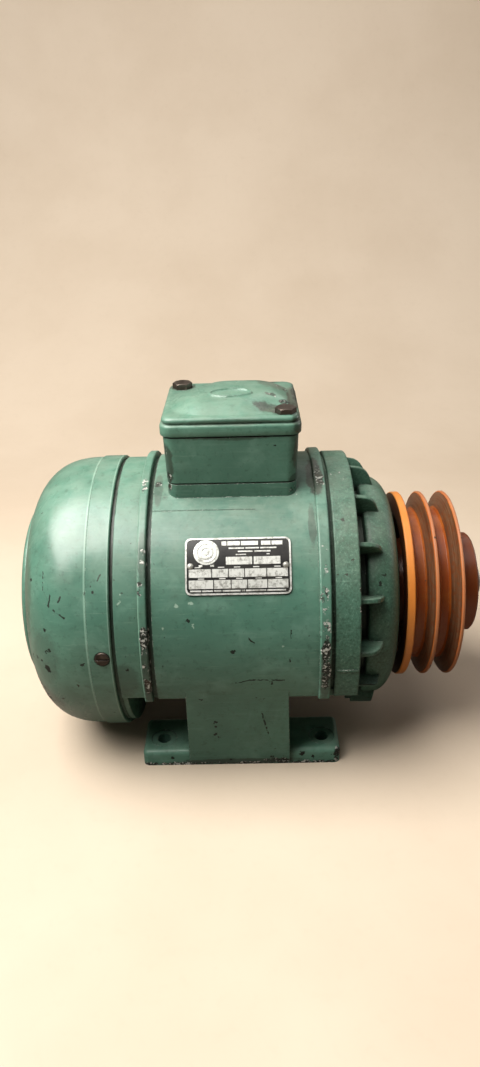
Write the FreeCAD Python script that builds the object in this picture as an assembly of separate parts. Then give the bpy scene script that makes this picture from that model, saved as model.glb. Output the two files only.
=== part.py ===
import FreeCAD, Part
import math
import os

# Three-phase induction motor on feet, enclosed and duct-cooled, with a terminal
# box on top and a two-groove V-belt pulley on the shaft.
# Frame: origin at the centre of the four foot holes, on the base plane; +Z up;
# +X along the shaft towards the pulley (drive end), -X towards the fan.  Millimetres.

Vector = FreeCAD.Vector
AXIS_X, AXIS_Y, AXIS_Z = Vector(1, 0, 0), Vector(0, 1, 0), Vector(0, 0, 1)
os.makedirs("parts", exist_ok=True)

# ------------------------------------------------------------ driving sizes
SHAFT_Z = 120.0                       # shaft height above the base
FRAME_R = 115.0                       # outside of the frame shroud
BAND_R = 118.2                        # raised flange bands
DUCT_R = 109.0                        # inside of the shroud (air duct)
BARREL_R = 92.5                       # outside of the inner barrel
BORE_R = 87.5                         # bore of the inner barrel
SKIRT_Z = SHAFT_Z - 37.0              # the shroud stops here; the barrel shows below
SKIRT_Y = math.sqrt(FRAME_R ** 2 - (SHAFT_Z - SKIRT_Z) ** 2)    # shroud half width there
FRAME_X0, FRAME_X1 = -63.7, 68.3      # frame: fan end, drive end
JOINT_GAP = 0.05                      # between the frame ends and the shields
FAN_JOINT_X = FRAME_X0 - JOINT_GAP
DRIVE_JOINT_X = FRAME_X1 + JOINT_GAP

TIE_R = 98.5                          # bolt circle radius of the tie bolts
TIE_ANGLES = (45.0, 135.0, -14.0, 194.0)

# Terminal box stack, from the frame boss up; rectangles are (x0, x1, y0, y1)
BOX_X = -3.1                          # centre of the box
BOX_HALF_X = 49.2                     # boss and box foot
BOSS_TOP_Z = SHAFT_Z + 115.5
GASKET_T = 1.0
BOX_BASE_Z = BOSS_TOP_Z + GASKET_T
BOX_FLOOR_Z = BOX_BASE_Z + 5.0
BOX_TOP_Z = SHAFT_Z + 152.5
LID_Z = BOX_TOP_Z + GASKET_T          # underside of the lid
LID_FLAT_Z = SHAFT_Z + 167.8          # flat corners of the lid
LID_CROWN_Z = SHAFT_Z + 176.0
BOX_SCREWS = ((-42.0, -37.5), (36.5, 37.5), (8.0, 38.5), (-14.0, -38.5))
LID_BOLTS = ((-43.0, 35.5), (38.0, -37.0))


# ------------------------------------------------------------------ helpers
def polar(radius, degrees, z=0.0):
    angle = math.radians(degrees)
    return Vector(radius * math.cos(angle), radius * math.sin(angle), z)


def revolved(outline):
    """Solid turned about the shaft axis from a closed outline of (x, radius)
    points.  A list among them is a smooth curve through its points, starting
    from the point before it."""
    def in_plane(point):
        return Vector(point[0], 0, SHAFT_Z + point[1])

    edges = []
    last = outline[0]
    for item in outline[1:] + outline[:1]:
        if isinstance(item, list):
            curve = Part.BSplineCurve()
            curve.interpolate([in_plane(point) for point in [last] + item])
            edges.append(curve.toShape())
            last = item[-1]
        else:
            edges.append(Part.makeLine(in_plane(last), in_plane(item)))
            last = item
    return Part.Face(Part.Wire(edges)).revolve(Vector(0, 0, SHAFT_Z), AXIS_X, 360)


def rod_x(radius, x0, x1, z=SHAFT_Z):
    return Part.makeCylinder(radius, x1 - x0, Vector(x0, 0, z), AXIS_X)


def rod_z(radius, z0, z1, x=0.0, y=0.0):
    return Part.makeCylinder(radius, z1 - z0, Vector(x, y, z0))


def rods_at(points, radius, z0, z1):
    return [rod_z(radius, z0, z1, x, y) for x, y in points]


def tube(x0, x1, r_in, r_out):
    """Tube on the shaft axis."""
    return rod_x(r_out, x0, x1).cut(rod_x(r_in, x0 - 1, x1 + 1))


def box(x0, x1, y0, y1, z0, z1):
    return Part.makeBox(x1 - x0, y1 - y0, z1 - z0, Vector(x0, y0, z0))


def radial_box(x0, x1, width, r0, r1):
    """Box straight above the shaft, between two distances from its axis."""
    return box(x0, x1, -width / 2, width / 2, SHAFT_Z + r0, SHAFT_Z + r1)


def radial_rod(radius, x, r0, r1):
    return rod_z(radius, SHAFT_Z + r0, SHAFT_Z + r1, x)


def prism(corners, sweep):
    return Part.Face(Part.makePolygon(corners + corners[:1])).extrude(sweep)


def xz_prism(points, y0, y1):
    return prism([Vector(x, y0, z) for x, z in points], Vector(0, y1 - y0, 0))


def yz_prism(points, x0, x1):
    return prism([Vector(x0, y, z) for y, z in points], Vector(x1 - x0, 0, 0))


def radial_plate(points, width):
    """Plate above the shaft from (x, radius) points."""
    return xz_prism([(x, SHAFT_Z + r) for x, r in points], -width / 2, width / 2)


def spin(shape, degrees):
    """Copy turned about the shaft axis."""
    turned = shape.copy()
    turned.rotate(Vector(0, 0, SHAFT_Z), AXIS_X, degrees)
    return turned


def spin_all(shape, count, start=0.0):
    return [spin(shape, start + i * 360.0 / count) for i in range(count)]


def at_angle(shape, angle):
    """Turn a shape built on top of the machine to an angle measured up from
    the horizontal on the -Y side."""
    return spin(shape, 90 - angle)


def at_angles(shape, angles):
    return [at_angle(shape, angle) for angle in angles]


def tie_rods(radius, x0, x1):
    return at_angles(rod_x(radius, x0, x1, SHAFT_Z + TIE_R), TIE_ANGLES)


def flatten(shapes):
    flat = []
    for shape in shapes:
        flat.extend(shape if isinstance(shape, (list, tuple)) else [shape])
    return flat


def fuse(*shapes):
    flat = flatten(shapes)
    joined = flat[0].multiFuse(flat[1:])
    try:
        return joined.removeSplitter()
    except Exception:
        # merging of coplanar faces can fail; the plain union is still good
        return joined


def cut(shape, *tools):
    flat = flatten(tools)
    return shape.cut(flat) if len(flat) > 1 else shape.cut(flat[0])


def middle(edge):
    return edge.valueAt((edge.FirstParameter + edge.LastParameter) / 2)


def round_edges(shape, wanted, radius, chamfer=False):
    """Fillet (or chamfer) the edges for which wanted(edge) is true; falls back
    to a smaller radius, then to one edge at a time."""
    def finish(size, edges):
        try:
            result = (shape.makeChamfer if chamfer else shape.makeFillet)(size, edges)
            if result.isValid() and result.Volume > 0:
                return result
        except Exception:
            # the kernel refuses a radius that does not fit the edges
            pass
        return None

    chosen = [edge for edge in shape.Edges if wanted(edge)]
    if not chosen:
        return shape
    for scale in (1.0, 0.7, 0.45):
        result = finish(radius * scale, chosen)
        if result:
            return result
    for edge in chosen:
        for candidate in shape.Edges:
            if (middle(edge) - middle(candidate)).Length < 1e-5:
                shape = finish(radius * 0.6, [candidate]) or shape
                break
    return shape


def on_circles(*circles, tol=0.02):
    """Selects edges on the given (x, radius) circles around the shaft axis."""
    def wanted(edge):
        bounds = edge.BoundBox
        mid = middle(edge)
        distance = math.hypot(mid.y, mid.z - SHAFT_Z)
        return any(abs(bounds.XMin - x) <= tol and abs(bounds.XMax - x) <= tol
                   and abs(distance - r) < tol for x, r in circles)
    return wanted


def flat_at(z):
    """Selects edges lying in the horizontal plane z."""
    return lambda e: abs(e.BoundBox.ZMin - z) < 1e-3 and abs(e.BoundBox.ZMax - z) < 1e-3


def is_vertical(edge):
    bounds = edge.BoundBox
    return bounds.XLength < 1e-4 and bounds.YLength < 1e-4 and bounds.ZLength > 0.5


def rectangle(x, y, half_x, half_y):
    return x - half_x, x + half_x, y - half_y, y + half_y


def inset(rect, by_x, by_y=None):
    by_y = by_x if by_y is None else by_y
    return rect[0] + by_x, rect[1] - by_x, rect[2] + by_y, rect[3] - by_y


def rounded_wire(rect, z, corner):
    x0, x1, y0, y1 = inset(rect, corner)
    arcs = []
    for i, (x, y) in enumerate(((x1, y1), (x0, y1), (x0, y0), (x1, y0))):
        arcs.append([Vector(x, y, z) + polar(corner, 90 * i + turn) for turn in (0, 45, 90)])
    edges = []
    for i, arc in enumerate(arcs):
        edges.append(Part.Arc(*arc).toShape())
        edges.append(Part.makeLine(arc[2], arcs[(i + 1) % 4][0]))
    return Part.Wire(edges)


def rounded_prism(rect, z0, z1, corner):
    return Part.Face(rounded_wire(rect, z0, corner)).extrude(Vector(0, 0, z1 - z0))


def rounded_loft(rect0, z0, corner0, rect1, z1, corner1):
    wires = [rounded_wire(rect0, z0, corner0), rounded_wire(rect1, z1, corner1)]
    return Part.makeLoft(wires, True, True)


def tapered_box(low, z0, high, z1, corner):
    """Box with flat leaning sides and rounded corners."""
    reach = 300
    side = xz_prism([(low[0], z0), (low[1], z0), (high[1], z1), (high[0], z1)], -reach, reach)
    end = yz_prism([(low[2], z0), (low[3], z0), (high[3], z1), (high[2], z1)], -reach, reach)
    solid = side.common(end).Solids[0]
    uprights = [e for e in solid.Edges if e.BoundBox.ZLength > abs(z1 - z0) * 0.5]
    return solid.makeFillet(corner, uprights)


def rounded_path(points, share=0.46):
    """Polyline whose corners are replaced by tangent arcs; each arc takes the
    given share of the shorter neighbouring leg."""
    edges = []
    current = points[0]
    for before, corner, after in zip(points, points[1:], points[2:]):
        back, ahead = before - corner, after - corner
        shorter = min(back.Length, ahead.Length)
        back, ahead = back * (1.0 / back.Length), ahead * (1.0 / ahead.Length)
        bend = math.pi - math.acos(max(-1.0, min(1.0, back.dot(ahead))))
        if bend < 0.01:
            continue
        trim = share * shorter
        radius = trim / math.tan(bend / 2)
        inward = back + ahead
        inward = inward * (1.0 / inward.Length)
        start, end = corner + back * trim, corner + ahead * trim
        crest = corner + inward * (radius / math.cos(bend / 2) - radius)
        edges.append(Part.makeLine(current, start))
        edges.append(Part.Arc(start, crest, end).toShape())
        current = end
    edges.append(Part.makeLine(current, points[-1]))
    return Part.Wire(edges)


def place(shape, position, direction=AXIS_Z):
    """Shape built along +Z at the origin, moved and pointed along direction."""
    moved = shape.copy()
    moved.Placement = FreeCAD.Placement(Vector(*position), FreeCAD.Rotation(AXIS_Z, direction))
    return moved


def place_all(shape, points, z):
    return [place(shape, (x, y, z)) for x, y in points]


# Fasteners are built along Z with the head above z = 0 and the shank below.
def hex_prism(flats, z0, z1, bore=0.0, chamfer=True):
    """Hexagon of the given width across flats, chamfered at the top."""
    corner_r = flats / math.sqrt(3)
    solid = prism([polar(corner_r, 60 * i, z0) for i in range(6)], Vector(0, 0, z1 - z0))
    if chamfer:
        drop = (corner_r - flats / 2) * 0.8
        cone = Part.makeCone(corner_r + 0.02, corner_r - drop * 1.6, drop,
                             Vector(0, 0, z1 - drop))
        solid = solid.common(rod_z(corner_r + 0.02, z0, z1 - drop).fuse(cone))
    if bore > 0:
        solid = solid.cut(rod_z(bore, z0 - 1, z1 + 1))
    return solid


def hex_bolt(flats, head_h, shank_r, length):
    shank = rod_z(shank_r, -length, 0.0)
    shank = round_edges(shank, flat_at(-length), shank_r * 0.25, chamfer=True)
    return hex_prism(flats, 0, head_h).fuse(shank).removeSplitter()


def slot_screw(head_r, head_h, shank_r, length, slot_w):
    head = round_edges(rod_z(head_r, 0, head_h), flat_at(head_h), head_h * 0.5)
    screw = head.fuse(rod_z(shank_r, -length, 0))
    slot = box(-head_r * 2, head_r * 2, -slot_w / 2, slot_w / 2, head_h * 0.5, head_h * 1.5)
    return screw.cut(slot).removeSplitter()


BUILDERS = []


def piece(build):
    """Marks a function that builds one piece; the piece takes its name."""
    BUILDERS.append(build)
    return build


def save(name, shape):
    if isinstance(shape, (list, tuple)):
        shape = Part.makeCompound(list(shape))
    shape.exportStep("parts/%s.step" % name)


# ------------------------------------------------------------ stator frame
BAND_X0 = 59.5                        # drive-end band starts here
FOOT_X, FOOT_Y, FOOT_HOLE_R = 66.5, 73.5, 5.5    # half spacings of the foot holes
PAD_X0, PAD_X1 = -83.0, 81.0
PAD_T, PAD_D = 14.5, 44.0             # foot pad thickness, depth
LEG_BASE_X = (-44.2, 39.2)            # leg ends at the base
LEG_TOP_X = (-42.2, 36.8)             # leg ends where it meets the frame
LEG_LEAN = math.radians(12.0)         # the leg face leans in by this angle
LEG_TOP_Y = FRAME_R * math.cos(LEG_LEAN)
LEG_TOP_Z = SHAFT_Z - FRAME_R * math.sin(LEG_LEAN)
LEG_FOOT_Y = LEG_TOP_Y - LEG_TOP_Z * math.tan(LEG_LEAN) - 1.2

BOSS_TOP = rectangle(BOX_X, 0, BOX_HALF_X, 47.5)
BOX_LUG_R = 6.5                       # lugs around the box screws

PLATE_X, PLATE_ANGLE = 0.6, 37.0      # nameplate
PLATE_HALF_X, PLATE_HALF_Y = 77.6 / 2, 42.4 / 2
RIVET_X = (PLATE_X - 35.0, PLATE_X + 35.0)
RIVET_HOLE_R = 1.25


def ledges(x0, x1, y_in, y_out):
    """Flat strips along both lower edges of the shroud."""
    return [box(x0, x1, y0, y1, SKIRT_Z, SKIRT_Z + 6)
            for y0, y1 in ((y_in, y_out), (-y_out, -y_in))]


def leg(side):
    """Leaning leg on the +Y (side = 1) or -Y (side = -1) side, hollow behind."""
    pad_y = LEG_FOOT_Y - PAD_D
    solid = yz_prism([(side * y, z) for y, z in
                      [(LEG_TOP_Y, LEG_TOP_Z), (LEG_FOOT_Y, 0), (pad_y, 0), (pad_y, 44),
                       (66, 76), (96, 96)]], -60, 60)
    slope = (LEG_TOP_Y - LEG_FOOT_Y) / LEG_TOP_Z
    wall, low, high, inner_y = 8.5, PAD_T + 1, 82, 20
    hollow = yz_prism([(side * y, z) for y, z in
                       [(LEG_FOOT_Y + PAD_T * slope - wall, low),
                        (LEG_FOOT_Y + high * slope - wall, high),
                        (inner_y, high), (inner_y, low)]],
                      LEG_TOP_X[0] + 8, LEG_TOP_X[1] - 8)
    # wedges that trim the two ends of the leg to their slant
    ends = [xz_prism([(far, -1), (base, -1), (base, 0), (top, LEG_TOP_Z), (top, 140), (far, 140)],
                     -200, 200)
            for far, base, top in zip((-90, 90), LEG_BASE_X, LEG_TOP_X)]
    return solid.cut([hollow] + ends)


def foot_pad(side):
    y0, y1 = sorted((side * (LEG_FOOT_Y - PAD_D), side * LEG_FOOT_Y))
    pad = box(PAD_X0, PAD_X1, y0, y1, 0, PAD_T)
    pad = round_edges(pad, is_vertical, 5.0)
    return round_edges(pad, flat_at(PAD_T), 4.2)


def is_boss_foot(edge):
    """Edges where the terminal box boss meets the shroud."""
    bounds = edge.BoundBox
    if bounds.ZMax > BOSS_TOP_Z - 0.5 or bounds.ZMin < SHAFT_Z + 90:
        return False
    mid = middle(edge)
    if abs(math.hypot(mid.y, mid.z - SHAFT_Z) - FRAME_R) > 0.05:
        return False
    return (BOSS_TOP[0] - 0.1 <= mid.x <= BOSS_TOP[1] + 0.1
            and abs(mid.y) <= BOSS_TOP[3] + 0.1
            and bounds.YLength + bounds.ZLength + bounds.XLength > 1)


def shroud_with_boss():
    shroud = tube(FRAME_X0, FRAME_X1, DUCT_R, FRAME_R)
    band = tube(BAND_X0, FRAME_X1, DUCT_R - 1, BAND_R)
    band = round_edges(band, on_circles((BAND_X0, BAND_R), (FRAME_X1, BAND_R)), 1.3)
    shell = shroud.fuse(band).cut(box(-300, 300, -300, 300, -200, SKIRT_Z))

    boss = rounded_prism(BOSS_TOP, SHAFT_Z + 88, BOSS_TOP_Z, 8.0)
    boss_bore = rounded_prism(inset(BOSS_TOP, 8), SHAFT_Z + 80, BOSS_TOP_Z + 1, 5.0)
    lug_limit = rounded_prism(inset(BOSS_TOP, 1), SHAFT_Z + 80, BOSS_TOP_Z, 7.0)
    lugs = [lug.common(lug_limit)
            for lug in rods_at(BOX_SCREWS, BOX_LUG_R, BOSS_TOP_Z - 30, BOSS_TOP_Z)]
    boss_ring = fuse(boss.cut(boss_bore), lugs).cut(rod_x(DUCT_R, -200, 200))
    outer = fuse(shell, boss_ring).cut(boss_bore.cut(fuse(lugs)))
    return round_edges(outer, is_boss_foot, 3.0)


@piece
def stator_frame():
    barrel = tube(FRAME_X0, FRAME_X1, BORE_R - 5, BARREL_R)
    web = radial_box(FRAME_X0 + 3, FRAME_X1 - 2, 5.0, BARREL_R - 1, DUCT_R + 1)
    frame = fuse(shroud_with_boss(), barrel,
                 ledges(FRAME_X0, FRAME_X1, 78.0, SKIRT_Y - 0.6),
                 at_angles(web, (5, 28, 60, 120, 152, 175)),
                 [leg(side) for side in (1, -1)], [foot_pad(side) for side in (1, -1)])

    lead_slot = rounded_prism((-62, -50.5, -11, 11), SHAFT_Z + 78, SHAFT_Z + 97, 4.0)
    foot_holes = [(sx * FOOT_X, sy * FOOT_Y) for sx in (-1, 1) for sy in (-1, 1)]
    # fine parting line of the casting
    seam = radial_box(FRAME_X0 - 1, 14.0, 0.44, FRAME_R - 0.25, FRAME_R + 4)
    return cut(frame, rod_x(BORE_R, -200, 200), lead_slot,
               tie_rods(3.4, FRAME_X0 - 1, FRAME_X1 + 1),
               rods_at(foot_holes, FOOT_HOLE_R, -5, 35),
               rods_at(foot_holes, 10.5, PAD_T - 0.8, PAD_T + 29.2),
               rods_at(BOX_SCREWS, 2.5, BOSS_TOP_Z - 12, BOSS_TOP_Z + 1),
               [at_angle(radial_rod(RIVET_HOLE_R, x, FRAME_R - 5, FRAME_R + 5), PLATE_ANGLE)
                for x in RIVET_X],
               at_angle(seam, 59.5))


# --------------------------------------------------------- drive-end shield
CAP_ANGLES = (45.0, 135.0, 225.0, 315.0)
CAP_BOLT_Z = SHAFT_Z + 43.5           # bearing cap screw, before turning
RING_X0, RING_X1 = 71.2, 90.0         # full-radius part of the shield ring

DRIVE_DOME = [                        # (x, radius)
    (61.5, BORE_R - 0.05), (DRIVE_JOINT_X, BORE_R - 0.05), (DRIVE_JOINT_X, BARREL_R),
    (86.0, BARREL_R), [(88.6, 91.6), (91.4, 89.0), (94.6, 87.8)], (97.4, 87.8), (98.9, 92.2),
    [(100.6, 93.1), (104, 93.6), (108, 93.3), (112, 92.3), (115.7, 90.6), (119.0, 87.9),
     (121.9, 84.0), (124.0, 79.2), (124.9, 75.2), (125.2, 72.0)],
    (125.2, 54.0), (124.2, 53.0), (121.0, 53.0), (121.0, 36.0), (99.5, 36.0), (99.5, 50.0),
    (112, 50.0), (116.6, 54), (119.6, 60), (119.6, 71), (117.4, 78), (113.0, 84.2), (106, 88.2),
    (101, 87.6), (98.0, 83.0), (90, 82.8), (80, 84.0), (DRIVE_JOINT_X, 83.0), (61.5, 83.0)]
DRIVE_RIB = [                         # (x, radius)
    (73, 90), (73, DUCT_R + 1), (88.8, DUCT_R + 1), (90.4, 109.3), (95.5, 108.8),
    (100.0, 107.9), (103.2, 106.2), (105.8, 103.6), (107.8, 100.2), (109.3, 96.2),
    (110.8, 91.6), (106, 90.8), (101, 90.0), (97, 86), (90, 86)]


def is_rib_crest(edge):
    bounds = edge.BoundBox
    return (abs(bounds.YLength) < 1e-4 and bounds.XMin > 90.0 and bounds.XMax < 110.5
            and bounds.ZMin > SHAFT_Z + 95.5)


@piece
def drive_end_shield():
    dome = revolved(DRIVE_DOME)
    ring = revolved([(DRIVE_JOINT_X, DUCT_R), (DRIVE_JOINT_X, 111.2), (RING_X0, 111.2),
                     (RING_X0, FRAME_R), (RING_X1, FRAME_R), (RING_X1, DUCT_R)])
    ring = round_edges(ring, on_circles((RING_X1, FRAME_R), (RING_X0, FRAME_R)), 1.2)
    rib = round_edges(radial_plate(DRIVE_RIB, 4.0), is_rib_crest, 1.1)
    outer = fuse(ring, spin_all(rib, 16), tie_rods(8.0, DRIVE_JOINT_X, 84))
    # open the ring and shorten the ribs below the skirt line
    outer = outer.cut(box(0, RING_X1 + 0.05, -200, 200, -100, SKIRT_Z))
    below = box(0, 200, -200, 200, -100, SKIRT_Z - 0.5)
    outer = outer.cut(tube(90, 115, 101.5, 125).common(below))
    # slim raised bar on the -Y side of the ring
    bar = at_angle(radial_box(72.5, 89.0, 2.0, FRAME_R - 1.5, FRAME_R + 0.7), -4.9)
    shield = fuse(dome, outer, ledges(DRIVE_JOINT_X, RING_X1, 79.0, SKIRT_Y - 0.6), bar)
    return cut(shield, rod_x(36.0, 99, 124), rod_x(83.0, 60, 90),
               tie_rods(3.05, FRAME_X1 - 1, 82),
               at_angles(rod_x(3.0, 90, 130, CAP_BOLT_Z), CAP_ANGLES))


# ----------------------------------------------------------- fan-end shield
COVER_SCREW_X = -102.0
COVER_SCREW_ANGLES = (2.5, 122.5, 242.5)
FAN_CAP_ANGLES = (90.0, 210.0, 330.0)
FAN_CAP_BOLT_Z = SHAFT_Z + 37         # fan bearing cap screw, before turning
FAN_BAND_X = (-67.0, -73.4)
FAN_RING_X = -92.0                    # the ring steps down here

FAN_SHIELD_CORE = [                   # (x, radius)
    (-59.6, BORE_R - 0.05), (FAN_JOINT_X, BORE_R - 0.05), (FAN_JOINT_X, BARREL_R),
    (-76, BARREL_R), (-80, 88.5), (-80, 47), (-84, 43), (-97, 43), (-97, 31), (-77.2, 31),
    (-77.2, 24), (-71.5, 24), (-71.5, 40), (-74, 43), (-74, 79), (-70, 83), (-59.6, 83)]
FAN_SHIELD_RING = [                   # (x, radius)
    (FAN_JOINT_X, 107), (FAN_JOINT_X, 112.0), (FAN_BAND_X[0], 112.0), (FAN_BAND_X[0], BAND_R),
    (FAN_BAND_X[1], BAND_R), (FAN_BAND_X[1], 113.3), (FAN_RING_X, 113.3), (FAN_RING_X, 111.6),
    (-108.0, 111.6), (-108.0, 104.5), (FAN_RING_X, 104.5), (-88.0, 107.0)]


@piece
def fan_end_shield():
    core = revolved(FAN_SHIELD_CORE)
    ring = revolved(FAN_SHIELD_RING)
    ring = round_edges(ring, on_circles(*((x, BAND_R) for x in FAN_BAND_X)), 1.3)
    ring = round_edges(ring, on_circles((FAN_RING_X, 113.3)), 0.8)
    ring = ring.cut(box(FAN_RING_X + 0.05, 0, -200, 200, -100, SKIRT_Z))
    webs = at_angles(radial_box(-88, -66, 6, 91.5, 108), (5, 28, 62, 90, 118, 152, 175))
    # plate and part tube that close the duct below the skirt line
    baffle = tube(FAN_RING_X, -88.0, 88, 111.6).common(
        box(-100, 0, -200, 200, -100, SKIRT_Z + 2))
    low_tube = tube(FAN_RING_X, -75.0, 88.0, BARREL_R).common(
        box(-100, 0, -200, 200, -100, SKIRT_Z + 4))
    shield = fuse(core, ring, webs, tie_rods(7.5, -88, FAN_JOINT_X),
                  ledges(FAN_RING_X, FAN_JOINT_X, 79.0, SKIRT_Y - 2.2), baffle, low_tube)
    return cut(shield, rod_x(31.0, -99.2, -77.2), rod_x(24.0, -78, -38),
               tie_rods(3.2, -90, -60),
               at_angles(radial_rod(2.5, COVER_SCREW_X, 100, 116), COVER_SCREW_ANGLES),
               at_angles(rod_x(2.5, -98, -85.5, FAN_CAP_BOLT_Z), FAN_CAP_ANGLES))


# ---------------------------------------------------------------- fan cover
COVER_X = -94.5                       # open rim
COVER_SEAT_R = FRAME_R - 1.6          # under the screw heads

COVER = [                             # (x, radius): outside to the end wall, then inside
    (COVER_X, FRAME_R), (-111.5, FRAME_R), (-112.1, 114.0),
    [(-119, 113.9), (-127, 113.2), (-134, 111.9), (-140.3, 109.8), (-146.5, 106.6),
     (-151.8, 102.6), (-156.4, 97.9), (-159.9, 93.0), (-162.7, 87.8), (-164.9, 82.0),
     (-166.2, 76.5)],
    (-166.4, 75.2), [(-168.4, 74.6), (-170.2, 72.6), (-170.8, 70.0)],
    (-170.8, 0), (-167.6, 0), (-167.6, 69.0), (-163.4, 73.5),
    [(-162.0, 80.4), (-160.0, 86.0), (-157.3, 91.4), (-154.0, 96.2), (-149.6, 100.4),
     (-144.6, 103.9), (-139, 106.8), (-133, 108.8), (-126.5, 110.1), (-119, 110.8)],
    (-112.6, 111.0), (-110.5, 112.0), (COVER_X, 112.0)]


def air_slot(r0, r1, width):
    """Round-ended radial slot through the end wall of the cover."""
    x0, x1, end_r = -176, -162, width / 2
    r0, r1 = r0 + end_r, r1 - end_r
    ends = [rod_x(end_r, x0, x1, SHAFT_Z + r) for r in (r0, r1)]
    return radial_box(x0, x1, width, r0, r1).fuse(ends)


@piece
def fan_cover():
    cover = round_edges(revolved(COVER), on_circles((COVER_X, FRAME_R)), 1.0)
    hole = radial_rod(2.7, COVER_SCREW_X, 104, 124)
    seat = radial_rod(5.9, COVER_SCREW_X, COVER_SEAT_R, COVER_SEAT_R + 20)
    return cut(cover, spin_all(air_slot(42, 64, 7.0), 20), spin_all(air_slot(17, 36, 6.0), 10),
               at_angles(hole, COVER_SCREW_ANGLES), at_angles(seat, COVER_SCREW_ANGLES))


@piece
def fan_cover_screws():
    screw = place(slot_screw(5.6, 2.6, 2.45, 11.0, 1.4),
                  (COVER_SCREW_X, 0, SHAFT_Z + COVER_SEAT_R))
    return at_angles(screw, COVER_SCREW_ANGLES)


# ------------------------------------------------------------ terminal box
BOX_TOP = rectangle(BOX_X, 0, 50.5, 48.2)
LID = rectangle(BOX_X, 0, 52.6, 49.2)
LID_SEAT_Z = LID_FLAT_Z - 0.7         # under the lid bolt heads
POST_R = 9.0                          # posts around the lid bolts
BLOCK_Z = BOX_FLOOR_Z + 3.5           # underside of the terminal block
BLOCK_SCREWS = ((-13.0, 0.0), (35.0, 0.0))
EARTH_SCREW = ((-38.0, -20.0),)
EARTH_Z = BOX_FLOOR_Z + 4.0
GLAND_X, GLAND_Y, GLAND_Z = BOX_X, 50.2, SHAFT_Z + 137.0    # gland seat on the +Y wall


def gland_rod(radius, y0, y1):
    """Cylinder on the gland axis; y0 and y1 are measured out from the seat."""
    return Part.makeCylinder(radius, y1 - y0, Vector(GLAND_X, GLAND_Y + y0, GLAND_Z), AXIS_Y)


@piece
def terminal_box_gasket():
    z0, z1 = BOSS_TOP_Z, BOSS_TOP_Z + GASKET_T
    opening = rounded_prism(inset(BOSS_TOP, 8.5), z0 - 1, z0 + 3, 5.0)
    return cut(rounded_prism(inset(BOSS_TOP, 0.6), z0, z1, 7.5),
               opening.cut(fuse(rods_at(BOX_SCREWS, BOX_LUG_R, z0 - 1, z0 + 4))),
               rods_at(BOX_SCREWS, 2.8, z0 - 1, z0 + 4))


@piece
def terminal_box_body():
    body = tapered_box(BOSS_TOP, BOX_BASE_Z, BOX_TOP, BOX_TOP_Z, 8.2)
    body = body.cut(tapered_box(inset(BOSS_TOP, 4.5), BOX_FLOOR_Z,
                                inset(BOX_TOP, 4.6), BOX_TOP_Z + 0.5, 5.0))
    post_limit = tapered_box(inset(BOSS_TOP, 1), BOX_BASE_Z, inset(BOX_TOP, 1), BOX_TOP_Z, 7.2)
    posts = [post.common(post_limit)
             for post in rods_at(LID_BOLTS, POST_R, BOX_BASE_Z, BOX_TOP_Z)]
    body = fuse(body, posts, gland_rod(14.9, -7, 0),
                rods_at(BLOCK_SCREWS, 5.5, BOX_FLOOR_Z - 0.5, BLOCK_Z),
                rods_at(EARTH_SCREW, 6.0, BOX_FLOOR_Z - 0.5, EARTH_Z))
    lead_opening = rounded_prism((-41, -20, -16, 16), BOX_BASE_Z - 1, BOX_FLOOR_Z + 1, 5.0)
    return cut(body, lead_opening,
               rods_at(LID_BOLTS, 4.0, BOX_TOP_Z - 28, BOX_TOP_Z + 2),
               rods_at(BOX_SCREWS, 2.8, BOX_BASE_Z - 1, BOX_BASE_Z + 9),
               gland_rod(10.0, -12.2, 7.8),
               rods_at(BLOCK_SCREWS, 2.05, BOX_FLOOR_Z - 4, BLOCK_Z),
               rods_at(EARTH_SCREW, 2.5, BOX_FLOOR_Z - 4, EARTH_Z))


@piece
def terminal_box_screws():
    return place_all(slot_screw(4.3, 3.2, 2.45, 15.5, 1.2), BOX_SCREWS, BOX_FLOOR_Z)


@piece
def lid_gasket():
    z0 = BOX_TOP_Z - 1
    opening = rounded_prism(inset(BOX_TOP, 4.4), z0, LID_Z + 1, 5.2)
    opening = opening.cut(fuse(rods_at(LID_BOLTS, POST_R, z0, z0 + 4)))
    return cut(rounded_prism(inset(BOX_TOP, 0.8), BOX_TOP_Z, LID_Z, 7.8), opening,
               rods_at(LID_BOLTS, 4.3, z0, z0 + 4))


def lid_pillow(sphere_r, centre):
    """Crowned middle of the lid, scooped out around the two bolts."""
    pillow = rounded_prism(inset(LID, 6.5), LID_FLAT_Z - 2.0, LID_CROWN_Z + 4, 9.0)
    for scoop in rods_at(LID_BOLTS, 14.0, LID_FLAT_Z - 10, LID_FLAT_Z + 20):
        pillow = pillow.cut(scoop)
    pillow = round_edges(pillow, is_vertical, 5.0)
    pillow = pillow.common(Part.makeSphere(sphere_r, centre))
    return round_edges(
        pillow, lambda e: e.BoundBox.ZMin > LID_FLAT_Z + 0.5 and not is_vertical(e), 4.0)


def lid_oval(sphere_r, centre):
    """Low oval badge on the crown."""
    ellipse = Part.Ellipse(Vector(BOX_X, 0, 0), 16.0, 9.5).toShape()
    oval = Part.Face(Part.Wire([ellipse])).extrude(Vector(0, 0, 400))
    oval = oval.common(Part.makeSphere(sphere_r + 1.1, centre)).common(
        box(-100, 100, -60, 60, LID_CROWN_Z - 5, LID_CROWN_Z + 5))
    return round_edges(oval, lambda e: e.BoundBox.ZMin > LID_CROWN_Z + 0.2, 0.6)


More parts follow.
